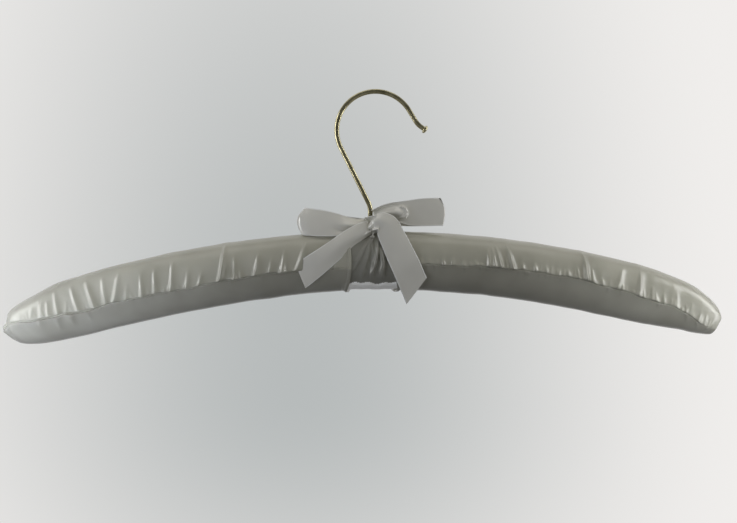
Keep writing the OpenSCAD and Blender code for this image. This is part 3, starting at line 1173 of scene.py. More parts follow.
@dataclass
class Ribbon:
    """A length of satin ribbon that follows a row of stations.

    Where it is gathered to less than its woven width, it lies in folds that are as deep as
    the cloth needs.

    Attributes:
        node: The node that the ribbon stands for.
        rests_on: The nodes that carry it; not used.
        cut: How much longer than the middle it is, in mm, at places across it from -1 to 1.
        outward: -1 where it heads left, so that its face still looks out.
        folds: How many waves its gathers make across each half of it.
        phase: Where the waves begin.
        crease: Share of the spare width that lies in folds; the rest curls back.
        vee: Where its creases meet in a V, in mm, and how steeply.
        puff: Place along and across of a dent pressed open from inside, its size and height.
        bulge: Where a loop's end starts to bow out, in mm from the middle, and how far.
    """

    name: str
    node: str
    stations: tuple[Station, ...]
    satin: bpy.types.Material
    held: str = "folded"
    rests_on: tuple[str, ...] = ("bow_knot",)
    cut: tuple[tuple[float, float], ...] = ((-1.0, 0.0), (1.0, 0.0))
    outward: int = 1
    folds: float = 1.5
    phase: float = 0.6
    crease: float = 1.0
    vee: tuple[float, float] = (0.0, 0.0)
    puff: Optional[tuple[float, float, float, float]] = None
    bulge: tuple[float, float] = (30.0, 0.0)
    woven_mm: float = 15.0
    thickness_mm: float = 0.22
    bead_mm: float = 0.10
    rows: int = 190
    columns: int = 61

    def relief(
        self, place: np.ndarray, t: np.ndarray, width: np.ndarray, cup: np.ndarray
    ) -> np.ndarray:
        """How far the ribbon stands out from the plain band through its stations.

        Args:
            place: Length along it, in mm.
            t: Place across it, from -1 to 1.
            width: Its gathered width, in mm.
            cup: How far its edges stand back, in mm.

        Returns:
            Offsets in mm.
        """
        depth = self.crease * fold_depth(self.woven_mm / width, width, self.folds)
        depth *= smooth_step(self.woven_mm / width, 1.06, 1.35)
        swing = t * math.pi * self.folds + self.phase + 0.35 * np.sin(place / 7.0 + self.phase)
        swing = swing + self.vee[1] * np.abs(place - self.vee[0])
        offset = depth * (0.88 * np.sin(swing) + 0.3 * np.sin(1.7 * swing + 1.0))
        # its woven edges are a little thicker, and it doesn't lie dead flat
        offset += self.bead_mm * np.exp(-(((np.abs(t) - 0.95) / 0.03) ** 2)) - cup * t**2
        drift = 0.16 * np.sin(place / 4.6 + t * 1.3 + self.phase * 3)
        offset += drift * smooth_step(place, 8.0, 16.0)
        if self.puff is not None:
            at, off, size, height = self.puff
            ahead, aside = place - at, t * width / 2 - off
            far = np.hypot(ahead, aside)
            rim = np.exp(-(((far - size) / 0.8) ** 2))
            rim *= smooth_step(ahead / np.maximum(far, 0.1), -0.6, 0.3)
            offset += height * (rim + 0.6 * np.clip(1.0 - (far / size) ** 2, 0.0, None))
        return offset

    def build(self) -> bpy.types.Object:
        """Builds the ribbon.

        Returns:
            The ribbon.
        """
        centres = np.array([st.at for st in self.stations])
        steps = np.linalg.norm(np.diff(centres, axis=0), axis=1)
        knots = np.concatenate([[0.0], np.cumsum(steps)])
        length = knots[-1]
        t = np.linspace(-1.0, 1.0, self.columns)
        along = np.linspace(0.0, 1.0, self.rows)[:, None]
        more = np.interp(t, [c[0] for c in self.cut], [c[1] for c in self.cut])
        place = (along * length + along**3 * more[None, :]).ravel()
        t = np.tile(t, self.rows)
        inside = np.clip(place, 0.0, length)
        ahead = spline(knots, centres, np.minimum(inside + 0.2, length))
        behind = spline(knots, centres, np.maximum(inside - 0.2, 0.0))
        heading = unit(ahead - behind)
        centre = spline(knots, centres, inside) + heading * (place - inside)[:, None]
        across = unit(spline(knots, [st.across for st in self.stations], inside))
        across = unit(across - heading * np.sum(across * heading, axis=1, keepdims=True))
        normal = np.cross(heading, across) * self.outward
        width = spline(knots, [st.width for st in self.stations], inside)
        width = np.minimum(width, self.woven_mm)
        cup = spline(knots, [st.cup for st in self.stations], inside)
        offset = self.relief(place, t, width, cup)
        points = centre + across * (t * width / 2)[:, None] + normal * offset[:, None]
        # the end of a loop bows out in its middle and draws back at its edges
        start, bow = self.bulge
        share = smooth_step(np.abs(points[:, 0]), start, np.abs(centres[:, 0]).max())
        points[:, 0] += np.sign(points[:, 0]) * bow * share * (0.2 - t**2)
        uv = np.stack([place * MM, t * self.woven_mm / 2 * MM], axis=-1)
        faces = grid_faces(self.rows, self.columns, False)
        piece = make_piece(self.name, points * MM, faces, self.satin, uv)
        thicken(piece, self.thickness_mm * MM)
        seat(piece, Body.HANGER, "ribbon", self.node)
        return piece


@dataclass
class RibbonBow:
    """The tied bow: two loops, two tails and the knot that holds them to the shank.

    Attributes:
        knot_mm: Middle of the knot's turn.
        knot_half_mm: Half the width and half the depth of the turn.
        knot_turns: How far round it goes, its ends lying one over the other.
    """

    satin: bpy.types.Material
    knot_mm: tuple[float, float, float] = (0.65, -4.6, -69.0)
    knot_half_mm: tuple[float, float] = (2.9, 6.2)
    knot_turns: float = 1.02

    def left_loop(self) -> Ribbon:
        """Lays out the left loop, which leans on the arm and turns tightly at its end.

        Returns:
            The loop.
        """
        up = (0.0, 0.3, 0.95)
        return Ribbon(
            "ribbon_left_loop",
            "bow_left_loop",
            (
                Station((-1.5, -5.4, -70.0), up, 9.0, 0.4),
                Station((-6.0, -7.4, -70.4), up, 9.6, 0.6),
                Station((-12.0, -8.5, -70.2), up, 11.0, 0.6),
                Station((-20.0, -8.3, -69.2), up, 13.0, 0.4),
                Station((-28.0, -7.4, -68.2), up, 14.6, 0.5),
                Station((-34.6, -6.0, -67.5), up, 15.0, 0.9),
                Station((-37.8, -4.2, -67.2), up, 15.0, 1.6),
                Station((-38.6, -2.6, -67.3), up, 14.4, 2.0),
                Station((-37.4, -1.2, -68.0), up, 12.8, 1.0),
                Station((-30.0, 2.8, -68.4), (0.0, 0.1, 1.0), 12.8, 0.4),
                Station((-20.0, 4.4, -69.0), (0.0, 0.0, 1.0), 11.6, 0.4),
                Station((-10.0, 3.8, -69.6), (0.0, 0.0, 1.0), 9.0, 0.3),
                Station((-2.5, 2.4, -69.8), (0.0, 0.0, 1.0), 7.6, 0.2),
            ),
            self.satin,
            outward=-1,
            crease=0.7,
            phase=0.4,
            bulge=(28.0, 2.4),
        )

    def right_loop(self) -> Ribbon:
        """Lays out the right loop, which leaves the top of the knot and tilts up.

        Returns:
            The loop.
        """
        up = (-0.05, 0.12, 1.0)
        return Ribbon(
            "ribbon_right_loop",
            "bow_right_loop",
            (
                Station((1.5, -4.6, -65.0), (-0.3, 0.1, 1.0), 6.5, 0.4),
                Station((6.0, -6.9, -63.2), (-0.35, 0.1, 0.95), 7.4, 0.6),
                Station((11.0, -7.9, -62.6), (-0.2, 0.1, 0.98), 9.4, 0.8),
                Station((15.5, -7.6, -63.0), up, 11.6, 0.5),
                Station((20.5, -6.6, -63.4), up, 13.6, 0.3),
                Station((29.0, -5.0, -63.1), up, 14.9, 0.1),
                Station((38.4, -2.62, -62.9), up, 15.0, 0.1),
                Station((39.15, -2.32, -62.9), up, 15.0, 0.1),
                Station((39.35, -2.05, -62.9), up, 15.0, 0.1),
                Station((39.15, -1.78, -62.9), up, 14.8, 0.1),
                Station((38.4, -1.5, -63.0), up, 14.4, 0.1),
                Station((30.0, 1.6, -63.9), up, 13.0, 0.2),
                Station((20.0, 4.0, -64.0), up, 12.6, 0.2),
                Station((10.0, 3.4, -64.8), up, 10.0, 0.3),
                Station((3.0, 2.2, -65.8), up, 7.5, 0.2),
            ),
            self.satin,
            crease=0.6,
            phase=2.2,
            puff=(14.6, -0.4, 3.1, 1.9),
            bulge=(30.0, 1.8),
        )

    def left_tail(self) -> Ribbon:
        """Lays out the left tail, which crosses the front of the left arm.

        Returns:
            The tail.
        """
        return Ribbon(
            "ribbon_left_tail",
            "bow_left_tail",
            (
                Station((-0.6, -8.4, -71.8), (0.1, 0.0, 1.0), 9.0, 1.2),
                Station((-5.0, -11.4, -73.4), (-0.2, -0.1, 0.97), 9.4, 1.4),
                Station((-11.4, -14.0, -76.6), (-0.5, -0.1, 0.86), 9.6, 1.4),
                Station((-20.6, -16.2, -83.4), (-0.6, -0.1, 0.79), 10.8, 1.0),
                Station((-29.6, -16.6, -90.0), (-0.62, -0.05, 0.78), 12.4, 0.7),
                Station((-37.4, -14.8, -95.4), (-0.6, 0.1, 0.79), 13.4, 0.5),
            ),
            self.satin,
            held="hung",
            cut=((-1.0, 2.4), (0.5, 0.0), (1.0, -5.6)),
            rests_on=("bow_knot", "left_cover"),
            outward=-1,
            crease=0.14,
            folds=1.0,
            phase=1.2,
        )

    def right_tail(self) -> Ribbon:
        """Lays out the right tail, which turns over beside the knot and hangs down the front.

        Returns:
            The tail.
        """
        return Ribbon(
            "ribbon_right_tail",
            "bow_right_tail",
            (
                Station((-1.0, -9.4, -70.0), (0.3, 0.3, 0.9), 7.0, 0.4),
                Station((0.8, -11.5, -68.8), (0.4, 0.2, 0.86), 8.4, 0.4),
                Station((3.2, -12.5, -68.0), (0.52, 0.2, 0.83), 10.2, 0.5),
                Station((6.3, -13.3, -69.3), (0.72, 0.1, 0.69), 12.2, 1.1),
                Station((10.0, -14.8, -76.0), (0.885, 0.05, 0.465), 13.8, 1.3),
                Station((13.2, -15.8, -83.6), (0.94, 0.02, 0.34), 14.6, 0.7),
                Station((16.6, -16.4, -91.2), (0.95, -0.02, 0.32), 15.0, 0.3),
                Station((20.9, -15.2, -101.2), (0.95, -0.03, 0.32), 15.0, 0.3),
            ),
            self.satin,
            held="hung",
            cut=((-1.0, 8.0), (1.0, -0.4)),
            rests_on=("bow_knot", "centre_wrap"),
            crease=0.25,
            folds=1.0,
            phase=0.2,
        )

    def knot(self) -> Ribbon:
        """Lays out the turn of ribbon that binds the bow.

        Returns:
            The knot.
        """
        x, y, z = self.knot_mm
        wide, deep = self.knot_half_mm
        steps = 20
        stations = []
        for i in range(steps + 1):
            angle = 2.0 * math.pi * i / steps * self.knot_turns + math.pi * 0.5
            # the turn is widest and lies lowest where it crosses the front
            front = 0.5 - 0.5 * math.sin(angle)
            at = (x + wide * math.cos(angle), y + deep * math.sin(angle), z - 1.8 * front)
            stations.append(Station(at, (0.0, -0.25 * front, 1.0), 6.6 + 4.8 * front, 0.9))
        return Ribbon(
            "ribbon_knot",
            "bow_knot",
            tuple(stations),
            self.satin,
            crease=1.1,
            folds=1.6,
            vee=(14.0, 0.5),
            rests_on=("hook",),
        )

    def build(self) -> list[bpy.types.Object]:
        """Builds the five lengths of ribbon.

        Returns:
            The pieces.
        """
        loops = (self.left_loop(), self.right_loop())
        parts = (*loops, self.left_tail(), self.right_tail(), self.knot())
        return [part.build() for part in parts]


# ---------------------------------------------------------------------------
# Hook
# ---------------------------------------------------------------------------


@dataclass
class WireHook:
    """The bent wire hook with its button tip, swaged collar and riveted end.

    Attributes:
        rail_mm: Inner radius of the round part.
        shift_mm: How far its middle lies beside the shank.
        lean_deg: How far the straight under it leans.
        bend_mm: Radius of the bend into the shank.
        end_deg: Where the round part ends.
        lead_mm: Length of the straight before the flare.
        flare_mm: Radius of the flare.
        flare_deg: How far the flare turns.
        tip_mm: Length of the straight behind the button.
        head_mm: Width and depth of the button.
        collar_mm: Bottom, top and radius of the collar.
        rivet_mm: Bottom, top and radius of the riveted head.
    """

    brass: bpy.types.Material
    wire_mm: float = 2.6
    rail_mm: float = 19.6
    shift_mm: float = 3.6
    lean_deg: float = 26.0
    bend_mm: float = 10.0
    end_deg: float = 31.0
    lead_mm: float = 6.5
    flare_mm: float = 11.0
    flare_deg: float = 26.0
    tip_mm: float = 1.2
    head_mm: tuple[float, float] = (4.4, 1.9)
    collar_mm: tuple[float, float, float] = (-78.7, -77.5, 2.3)
    rivet_mm: tuple[float, float, float] = (-95.05, -93.65, 2.4)
    around: int = 32

    def path(self, foot_mm: float) -> np.ndarray:
        """Middle line of the wire from its foot to its tip, in the plane of the hook.

        Args:
            foot_mm: Height of the wire's lower end.

        Returns:
            Points as X and Z in mm.
        """

        def arc(middle: np.ndarray, r: float, start: float, end: float, count: int) -> np.ndarray:
            """Points on a circle, from one angle in degrees to another."""
            a = np.radians(np.linspace(start, end, count))
            return middle + r * np.stack([np.cos(a), np.sin(a)], axis=1)

        def polar(middle: np.ndarray, r: float, degrees: float) -> np.ndarray:
            """Point at a distance and an angle from a middle."""
            return arc(middle, r, degrees, degrees, 1)[0]

        radius = self.rail_mm + self.wire_mm / 2
        centre = np.array([self.shift_mm, -math.sqrt(self.rail_mm**2 - self.shift_mm**2)])
        start = polar(centre, radius, 180.0 + self.lean_deg)
        cross_z = start[1] + start[0] / math.tan(math.radians(self.lean_deg))
        shank_z = cross_z - self.bend_mm * math.tan(math.radians(self.lean_deg / 2))
        bend_middle = np.array([-self.bend_mm, shank_z])
        flare_start = polar(centre, radius, self.end_deg)
        flare_in = polar(flare_start, self.lead_mm, self.end_deg - 90.0)
        flare_middle = polar(flare_in, self.flare_mm, self.end_deg)
        # the collar and the riveted head have crisp edges, so the line has points beside them
        edges = [
            z + beside
            for bottom, top, _ in (self.collar_mm, self.rivet_mm)
            for z in (bottom, top)
            for beside in (-0.05, 0.05)
        ]
        heights = np.unique(
            np.clip([*np.linspace(foot_mm, shank_z, 40)[:-1], *edges], foot_mm, None)
        )
        turned = self.end_deg + 180.0
        line = np.concatenate(
            [
                np.stack([np.zeros_like(heights), heights], axis=1),
                arc(bend_middle, self.bend_mm, 0.0, self.lean_deg, 14),
                arc(centre, radius, 180.0 + self.lean_deg, self.end_deg, 120),
                arc(flare_middle, self.flare_mm, turned, turned + self.flare_deg, 14),
            ]
        )
        return np.vstack([line, line[-1] + self.tip_mm * unit(line[-1] - line[-2])])

    def tube(
        self, line: np.ndarray, radii: np.ndarray
    ) -> tuple[np.ndarray, list[tuple[int, ...]], np.ndarray]:
        """Sweeps a round section along a line in the hook's plane.

        Args:
            line: Points as X and Z in mm.
            radii: The section's radius at each point, in mm.

        Returns:
            Points in metres, faces, and surface coordinates in metres.
        """
        heading = unit(np.gradient(line, axis=0))
        side = np.stack([heading[:, 1], -heading[:, 0]], axis=1)
        angle = np.linspace(0.0, 2 * math.pi, self.around, endpoint=False)
        radii = radii[:, None]
        x, z = (line[:, i : i + 1] + side[:, i : i + 1] * np.cos(angle) * radii for i in (0, 1))
        points = np.stack([x, np.sin(angle) * radii, z], axis=-1) * MM
        run = np.concatenate([[0.0], np.cumsum(np.linalg.norm(np.diff(line, axis=0), axis=1))])
        run, turn = np.broadcast_arrays(run[:, None], angle * self.wire_mm / 2)
        faces = grid_faces(len(line), self.around, True)
        first = (len(line) - 1) * self.around
        faces.append(tuple(range(self.around)))
        faces.append(tuple(first + i for i in reversed(range(self.around))))
        return points, [tuple(reversed(f)) for f in faces], np.stack([run, turn], axis=-1) * MM

    def head(self, line: np.ndarray) -> tuple[np.ndarray, np.ndarray]:
        """Adds the upset button to the end of the wire.

        Args:
            line: The wire's middle line.

        Returns:
            The longer line and the radius at each of its points.
        """
        wide, deep = self.head_mm
        wire, rim = self.wire_mm / 2, wide / 2
        profile = (
            (0.02, wire + 0.02), (0.05, rim - 0.25), (0.14, rim - 0.06), (0.28, rim),
            (0.45, rim - 0.01), (0.60, rim - 0.10), (0.76, rim - 0.36), (0.88, rim - 0.78),
            (0.96, rim - 1.30), (1.00, 0.30),
        )
        heading = unit(line[-1] - line[-2])
        extra = np.array([line[-1] + heading * deep * share for share, _ in profile])
        radii = np.concatenate([np.full(len(line), wire), [r for _, r in profile]])
        return np.vstack([line, extra]), radii

    def build(self) -> bpy.types.Object:
        """Builds the hook.

        Returns:
            The wire.
        """
        low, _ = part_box("hook")
        line, radii = self.head(self.path(low.z / MM))
        for bottom, top, radius in (self.collar_mm, self.rivet_mm):
            inside = (line[:, 1] > bottom - 0.02) & (line[:, 1] < top + 0.02)
            radii[inside & (line[:, 0] == 0.0)] = radius
        points, faces, uv = self.tube(line, radii)
        wire = make_piece("brass_hook_wire", points, faces, self.brass, uv)
        seat(wire, Body.HOOK, "brass_wire", "hook")
        return wire


# ---------------------------------------------------------------------------
# Studio
# ---------------------------------------------------------------------------


@dataclass
class Studio:
    """Pale floor and backdrop, soft lamps and the camera."""

    half_width: float = 3.0
    floor_z: float = -0.62
    wall_y: float = 0.9
    sweep: float = 0.4
    front_y: float = -2.6
    top_z: float = 2.4
    aim: tuple[float, float, float] = (-0.0013, 0.0, -0.0889)
    distance: float = 0.60
    turn_deg: float = 5.1
    view_deg: float = 36.2
    roll_deg: float = 0.75
    painted_shade_spot: tuple[float, float] = (-0.017, -0.254)

    def backdrop(self) -> bpy.types.Object:
        """Builds the floor that sweeps up into the backdrop.

        Returns:
            The backdrop.
        """
        middle_y, middle_z = self.wall_y - self.sweep, self.floor_z + self.sweep
        bend = np.radians(np.linspace(0.0, 90.0, 17))
        y = middle_y + self.sweep * np.sin(bend)
        z = middle_z - self.sweep * np.cos(bend)
        profile = [(self.front_y, self.floor_z), *zip(y, z), (self.wall_y, self.top_z)]
        across = np.linspace(-self.half_width, self.half_width, 9)
        points = np.array([[(x, y, z) for x in across] for y, z in profile])
        faces = grid_faces(len(profile), len(across), False)
        piece = make_piece("studio_backdrop", points, faces, self.paper())
        return piece

    def paper(self) -> bpy.types.Material:
        """Builds the pale paper of the floor and the backdrop.

        Returns:
            The new material.
        """
        material, tree = empty_material("backdrop_paper")
        place = add_node(tree, "ShaderNodeTexCoord").outputs["Object"]
        parts = add_node(tree, "ShaderNodeSeparateXYZ", links={"Vector": place}).outputs
        # painted shade: the paper is darkest in a soft oval a little below the hanger's middle and
        # grows paler outwards, as the light on it falls off
        middle_x, middle_z = self.painted_shade_spot
        right, left, over, under = (
            add_node(
                tree,
                "ShaderNodeMapRange",
                {"From Min": start, "From Max": start + reach},
                {"Value": parts[axis]},
            ).outputs["Result"]
            for axis, start, reach in (
                ("X", middle_x, 0.65),
                ("X", middle_x, -0.65),
                ("Z", middle_z, 1.3),
                ("Z", middle_z, -0.5),
            )
        )
        sideways, upwards = (
            add_node(tree, "ShaderNodeMath", links=dict(enumerate(ways)), operation="ADD")
            for ways in ((right, left), (over, under))
        )
        off = add_node(
            tree,
            "ShaderNodeCombineXYZ",
            links={"X": sideways.outputs[0], "Y": upwards.outputs[0]},
        )
        far = add_node(
            tree, "ShaderNodeVectorMath", links={0: off.outputs[0]}, operation="LENGTH"
        )
        fade = add_node(
            tree,
            "ShaderNodeMapRange",
            links={"Value": far.outputs["Value"]},
            interpolation_type="SMOOTHSTEP",
        )
        tone = two_tones(tree, fade.outputs["Result"], ("#B7BBBB", "#F0EEEC"))
        lit = add_node(tree, "ShaderNodeBsdfDiffuse", {"Color": linear("#707070")})
        glow = add_node(tree, "ShaderNodeEmission", {"Strength": 1.0}, {"Color": tone})
        # the floor keeps a share of its own shade, and gleams less in the satin than the wall
        rays = add_node(tree, "ShaderNodeLightPath").outputs
        shares = []
        for kind, least in (("Camera", 0.8), ("Glossy", 0.25), ("Transmission", 0.8)):
            low, high = self.floor_z + 0.005, self.floor_z + 0.10
            height = add_node(
                tree,
                "ShaderNodeMapRange",
                {"From Min": low, "From Max": high, "To Min": least},
                {"Value": parts["Z"]},
                interpolation_type="SMOOTHSTEP",
            )
            factors = {0: rays[f"Is {kind} Ray"], 1: height.outputs["Result"]}
            shares.append(add_node(tree, "ShaderNodeMath", links=factors, operation="MULTIPLY"))
        share = shares[0]
        for other in shares[1:]:
            both = {0: share.outputs[0], 1: other.outputs[0]}
            share = add_node(tree, "ShaderNodeMath", links=both, operation="MAXIMUM")
        layers = {0: share.outputs[0], 1: lit.outputs[0], 2: glow.outputs[0]}
        mix = add_node(tree, "ShaderNodeMixShader", links=layers)
        add_node(tree, "ShaderNodeOutputMaterial", links={"Surface": mix.outputs[0]})
        return material

    def world(self) -> None:
        """Sets the even grey light of the room."""
        world = bpy.data.worlds.new("room_light")
        world.use_nodes = True
        tree = world.node_tree
        tree.nodes.clear()
        rays = add_node(tree, "ShaderNodeLightPath").outputs
        room, mirrored, seen = (
            add_node(
                tree, "ShaderNodeBackground", {"Color": linear(colour), "Strength": strength}
            ).outputs[0]
            for colour, strength in (("#DDDCDA", 0.38), ("#D9DCDC", 0.22), ("#D9DCDC", 1.0))
        )
        inside = add_node(
            tree, "ShaderNodeMixShader", links={0: rays["Is Glossy Ray"], 1: room, 2: mirrored}
        )
        mix = add_node(
            tree,
            "ShaderNodeMixShader",
            links={0: rays["Is Camera Ray"], 1: inside.outputs[0], 2: seen},
        )
        add_node(tree, "ShaderNodeOutputWorld", links={"Surface": mix.outputs[0]})
        bpy.context.scene.world = world

    def lamp(
        self,
        name: str,
        at: tuple[float, float, float],
        aim: tuple[float, float, float],
        size: tuple[float, float],
        power: float,
        colour: str,
        beam_deg: float = 180.0,
    ) -> bpy.types.Object:
        """Adds a soft box.

        Args:
            name: The lamp's name.
            at: Where it stands.
            aim: What it points at.
            size: Its width and height.
            power: Its power in watts.
            colour: The colour of its light.
            beam_deg: How wide its light spreads.

        Returns:
            The lamp.
        """
        light = bpy.data.lights.new(name, "AREA")
        light.shape = "RECTANGLE"
        light.size, light.size_y = size
        light.energy = power
        light.color = linear(colour)[:3]
        light.spread = math.radians(beam_deg)
        lamp = bpy.data.objects.new(name, light)
        bpy.context.scene.collection.objects.link(lamp)
        lamp.location = at
        lamp.visible_camera = False
        lamp.rotation_euler = (Vector(aim) - Vector(at)).to_track_quat("-Z", "Y").to_euler()
        return lamp

    def camera(self) -> bpy.types.Object:
        """Sets up the camera, level with the arms and a little to the left.

        Returns:
            The camera.
        """
        turn = math.radians(self.turn_deg)
        data = bpy.data.cameras.new("camera")
        data.angle = math.radians(self.view_deg)
        camera = bpy.data.objects.new("camera", data)
        bpy.context.scene.collection.objects.link(camera)
        aim = Vector(self.aim)
        camera.location = aim + self.distance * Vector((-math.sin(turn), -math.cos(turn), 0.0))
        facing = (aim - camera.location).to_track_quat("-Z", "Y")
        level = Quaternion((0.0, 0.0, 1.0), -math.radians(self.roll_deg))
        camera.rotation_euler = (facing @ level).to_euler()
        bpy.context.scene.camera = camera
        return camera

    def side_lamps(self, side: Side) -> None:
        """Adds the lamps that stand beside one arm; the left arm's tip is lit from below.

        Args:
            side: Which arm.
        """
        x, name = float(side.value), side.name.lower()
        if side is Side.LEFT:
            powers, gleam, tint = (0.35, 0.085, 0.048), 2.15, "#E6ECFF"
        else:
            powers, gleam, tint = (0.40, 0.02, 0.03), 1.7, "#EDF0F9"
        boxes = (
            ("box", (0.44 * x, -0.18, 0.02), (0.34, 0.32), 180.0),
            ("low_box", (0.34 * x, -0.26, -0.26), (0.16, 0.16), 70.0),
            ("tip_box", (0.26 * x, -0.30, -0.16), (0.10, 0.10), 40.0),
        )
        for (kind, at, size, beam), power in zip(boxes, powers):
            tip = (0.20 * x, 0.0, -0.12)
            box = self.lamp(f"{name}_{kind}", at, tip, size, power, tint, beam)
            box.visible_glossy = False
        # a narrow lamp at the side, which only the steep faces of the gathers mirror
        at, middle = (0.52 * x, -0.05, -0.02), (0.10 * x, 0.0, -0.09)
        glint = self.lamp(f"{name}_glint", at, middle, (0.16, 0.60), gleam, "#FAFAFA")
        glint.visible_diffuse = False

    def build(self) -> None:
        """Builds the whole studio."""
        self.camera()
        self.backdrop()
        self.world()
        self.lamp("key_box", (0.0, 0.0, 1.05), (0.0, 0.0, -0.09), (1.6, 0.5), 2.4, "#FFFCF6")
        for side in Side:
            self.side_lamps(side)
        bpy.context.scene.view_settings.view_transform = "Standard"


# ---------------------------------------------------------------------------
# The hanger
# ---------------------------------------------------------------------------

LEFT_CUT = ArmCut(
    crown=((0, 15.1), (140, 15.0), (158, 14.9), (166, 14.0), (173, 12.8), (179, 11.7),
           (184, 10.6), (187.0, 9.8), (189.2, 8.6), (190.4, 7.4), (191.2, 5.9), (191.8, 4.4),
           (193.0, 3.6), (194.4, 2.9), (195.0, 0.9)),
    belly=((0, 15.9), (30, 16.3), (62, 17.0), (94, 17.2), (126, 16.8), (146, 16.1),
           (158, 15.5), (166, 14.7), (178, 12.7), (183.6, 11.0), (187, 9.7), (190.6, 7.2),
           (192.7, 4.0), (194.0, 1.5), (194.7, 0.5), (195.0, 0.1)),
    front_seam=((0, -4.1), (50, -4.0), (80, -4.5), (104, -4.8), (127, -3.8), (148, -3.5),
                (158, -2.2), (167, -1.4), (176, 0.0), (182, 1.4), (188, 2.4), (192, 1.8),
                (196, 0.5)),
    back_seam=((0, -3.8), (60, -4.2), (120, -3.6), (160, -2.4), (180, 0.6), (188, 2.0),
               (196, 0.5)),
    pleats=gathers(
        (42.1, 18.0, -8.5, 1.76, 1.24), (48.9, 12.5, -3.5, 1.76, 1.16),
        (55.1, 8.0, -2.6, 1.23, 1.08), (62.9, 12.0, -4.0, 1.76, 1.16),
        (69.7, 5.0, -0.4, 1.2, 0.83), (73.3, 13.0, -2.2, 1.76, 1.08),
        (81.6, 22.0, -7.0, 2.28, 1.16), (92.3, 6.5, -3.4, 1.34, 0.97),
        (98.7, 9.5, -3.4, 1.58, 1.08), (106.8, 16.0, -4.6, 1.85, 1.16),
        (114.5, 13.0, -2.6, 1.76, 1.16), (121.4, 12.5, -2.4, 1.58, 1.16),
        (129.9, 8.0, -3.2, 1.23, 1.08), (136.4, 16.0, -7.0, 2.01, 1.32),
        (139.8, 14.5, -1.8, 1.58, 1.24), (144.8, 16.5, 1.6, 2.19, 1.32),
        (153.2, 14.5, 1.0, 1.69, 1.15), (160.0, 6.5, -2.2, 0.88, 0.84),
        (163.6, 14.0, -1.0, 1.62, 1.15), (168.6, 8.5, -1.4, 1.62, 1.15),
        (172.6, 13.0, -3.2, 1.04, 1.35), (177.6, 8.0, -2.0, 0.78, 1.22),
        (182.6, 5.0, -0.4, 0.44, 1.08), (150.0, -5.5, -1.0, 0.9, 1.1),
        (157.0, -6.0, 1.5, 0.9, 1.2), (159.8, -7.0, -2.2, 0.8, 1.2),
        (164.5, -8.0, 1.0, 1.1, 1.4), (173.0, -5.0, 1.0, 0.9, 1.2),
    ),
    end_depth_mm=3.4,
    seed=11,
    nub_mm=4.3,
    puckers=1.1,
)

RIGHT_CUT = ArmCut(
    crown=((0, 15.1), (140, 15.1), (152, 14.8), (160, 14.2), (168, 13.5), (175, 12.4),
           (180.6, 10.7), (186, 8.6), (190.5, 5.9), (193.0, 3.4), (194.4, 1.0), (194.8, -0.2)),
    belly=((0, 15.9), (42, 16.3), (74, 16.4), (106, 16.6), (138, 16.3), (152, 15.5),
           (164, 14.2), (176, 12.7), (182, 12.0), (187.5, 11.1), (192.6, 9.7), (193.3, 9.0),
           (193.8, 6.4), (194.4, 3.2), (194.8, 1.2)),
    front_seam=((0, -2.4), (40, -2.2), (62, -1.4), (84, -1.0), (104, -0.7), (117, -1.2),
                (133, -1.7), (145, -2.6), (157, -2.7), (166, -3.3), (176, -4.9), (186, -6.9),
                (193, -6.4), (196, -1.0)),
    back_seam=((0, -3.8), (60, -4.2), (120, -3.6), (160, -3.4), (176, -5.0), (186, -7.6),
               (193, -6.4), (196, -1.0)),
    pleats=gathers(
        (36.7, 3.2, -0.2, 0.91, 0.72), (40.9, 4.2, 0.3, 0.82, 0.72),
        (47.2, 3.4, -0.2, 0.91, 0.72), (53.6, 3.4, -0.2, 0.91, 0.72),
        (61.3, 10.0, -1.5, 1.57, 0.94), (64.5, 11.0, -2.5, 1.57, 0.88),
        (68.0, 14.0, -4.5, 1.76, 0.88), (71.2, 6.0, -1.7, 1.01, 0.72),
        (74.5, 15.0, -5.0, 1.76, 0.94), (79.3, 4.0, -1.0, 0.91, 0.72),
        (85.9, 4.6, -1.2, 1.01, 0.72), (92.3, 4.6, -1.2, 0.91, 0.72),
        (97.8, 4.0, -0.6, 0.91, 0.72), (103.8, 4.0, -1.2, 1.01, 0.72),
        (109.8, 6.2, -2.1, 1.22, 0.72), (113.8, 17.0, -3.2, 2.24, 1.01),
        (117.6, 7.0, -1.7, 1.12, 0.81), (123.2, 4.4, -1.4, 0.91, 0.72),
        (129.9, 12.5, 2.2, 1.76, 1.08), (133.9, 4.0, -0.9, 0.91, 0.72),
        (142.7, 16.0, -0.6, 1.98, 1.08), (146.5, 5.0, -1.8, 1.01, 0.84),
        (150.5, 8.0, -1.3, 1.41, 1.01), (153.4, 5.0, -1.8, 1.01, 0.84),
        (157.2, 6.0, -0.9, 1.12, 0.84), (165.2, 8.0, -1.8, 0.94, 1.08),
        (161.6, 4.5, 1.6, 0.64, 0.8), (169.4, 5.0, 2.4, 0.53, 0.8),
        (176.4, 4.5, 3.0, 0.53, 0.8), (186.4, 5.0, 2.0, 0.53, 0.8),
        (171.0, -5.0, 3.0, 0.35, 0.9), (178.0, -4.5, 3.5, 0.35, 0.9),
        (173.5, 7.0, -0.6, 0.82, 1.08), (179.0, 7.0, -0.6, 0.75, 1.08),
        (183.6, 6.0, -1.0, 0.81, 0.96),
    ),
    end_depth_mm=5.0,
    seed=23,
    groove_mm=0.05,
    puckers=1.7,
)


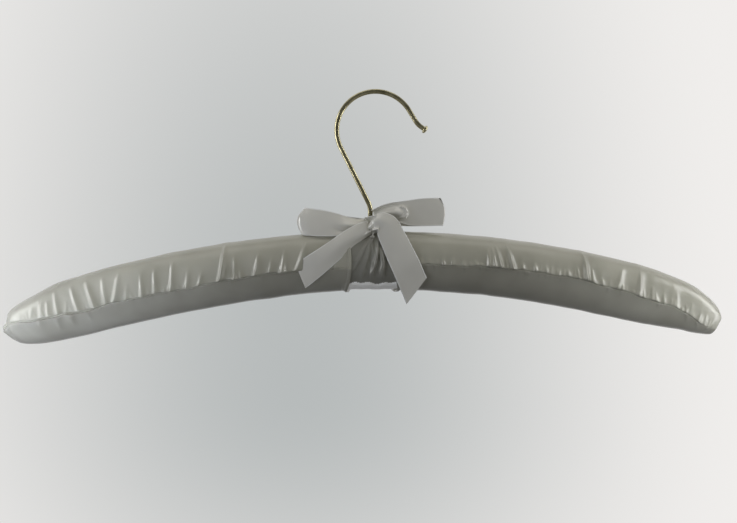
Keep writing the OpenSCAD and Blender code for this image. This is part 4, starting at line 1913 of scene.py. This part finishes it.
@dataclass(frozen=True)
class Core:
    """What lies inside the covers, which keeps the model's own shapes.

    The yoke is sawn beech, the bush turned brass and the washer zinc plate. The wadding round
    the yoke is white polyester.
    """

    beech: Grained = Grained("sawn_beech", "#C9A77C", "#AD8557", 0.55, 0.0, (9.0, 0.6, 0.6))
    brass: Grained = Grained("turned_brass", "#C2A76A", "#A98E52", 0.3, 1.0, (1.0, 1.0, 0.2))
    zinc: Grained = Grained("zinc_plate", "#B4B6B8", "#9DA0A3", 0.35, 1.0)
    wadding: Grained = Grained(
        "polyester_wadding", "#EDECE6", "#DAD9D2", 0.95, 0.0, (1.2, 1.2, 1.2), 0.4
    )

    def dress(self) -> None:
        """Gives each of the pieces its finish."""
        finishes = {
            "yoke": self.beech,
            "hook_bush": self.brass,
            "retaining_washer": self.zinc,
            "left_padding": self.wadding,
            "right_padding": self.wadding,
        }
        for node, finish in finishes.items():
            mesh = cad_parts[node].data
            mesh.materials.clear()
            mesh.materials.append(finish.material())
            LOG.info("dressed %s as %s", node, finish.name)


def main() -> None:
    """Builds the hanger, piece by piece, and its studio."""
    logging.basicConfig(level=logging.INFO, format="%(message)s")
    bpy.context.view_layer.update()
    form = ArmForm()
    satin = Satin().material()
    # painted shade: a darker copy of the satin for the lower panels, for the shade under the arms
    lower = Satin(name="under_arm_shaded_satin", colour="#A8A698", shade="#9D9B8D").material()
    # painted shade: a darker copy of the satin for the centre wrap, for the shade of the bow over
    # it
    tight = Satin(name="bow_shaded_satin", colour="#98978B", shade="#8A897E").material()
    # painted light: a near-white satin that glows a little, for the room's light coming through
    # the wrap's lower roll
    painted_glow = Satin(
        name="painted_glow_satin", colour="#F0F0EC", shade="#E6E6E1", roughness=0.4, glow=0.10
    ).material()
    ribbon = Satin(
        name="oyster_ribbon",
        colour="#E6E4D8",
        shade="#DEDCD0",
        roughness=0.22,
        shine=1.0,
        half_width_mm=7.5,
    ).material()
    pieces = [
        WireHook(BrassPlate().material()).build(),
        PaddedArm(Side.LEFT, form, LEFT_CUT, satin, lower).build(),
        PaddedArm(Side.RIGHT, form, RIGHT_CUT, satin, lower).build(),
        CentreWrap(form, tight, painted_glow).build(),
        *RibbonBow(ribbon).build(),
    ]
    Core().dress()
    for piece in pieces:
        LOG.info("built %s with %d faces", piece.name, len(piece.data.polygons))
    Studio().build()


if __name__ == "__main__":
    main()
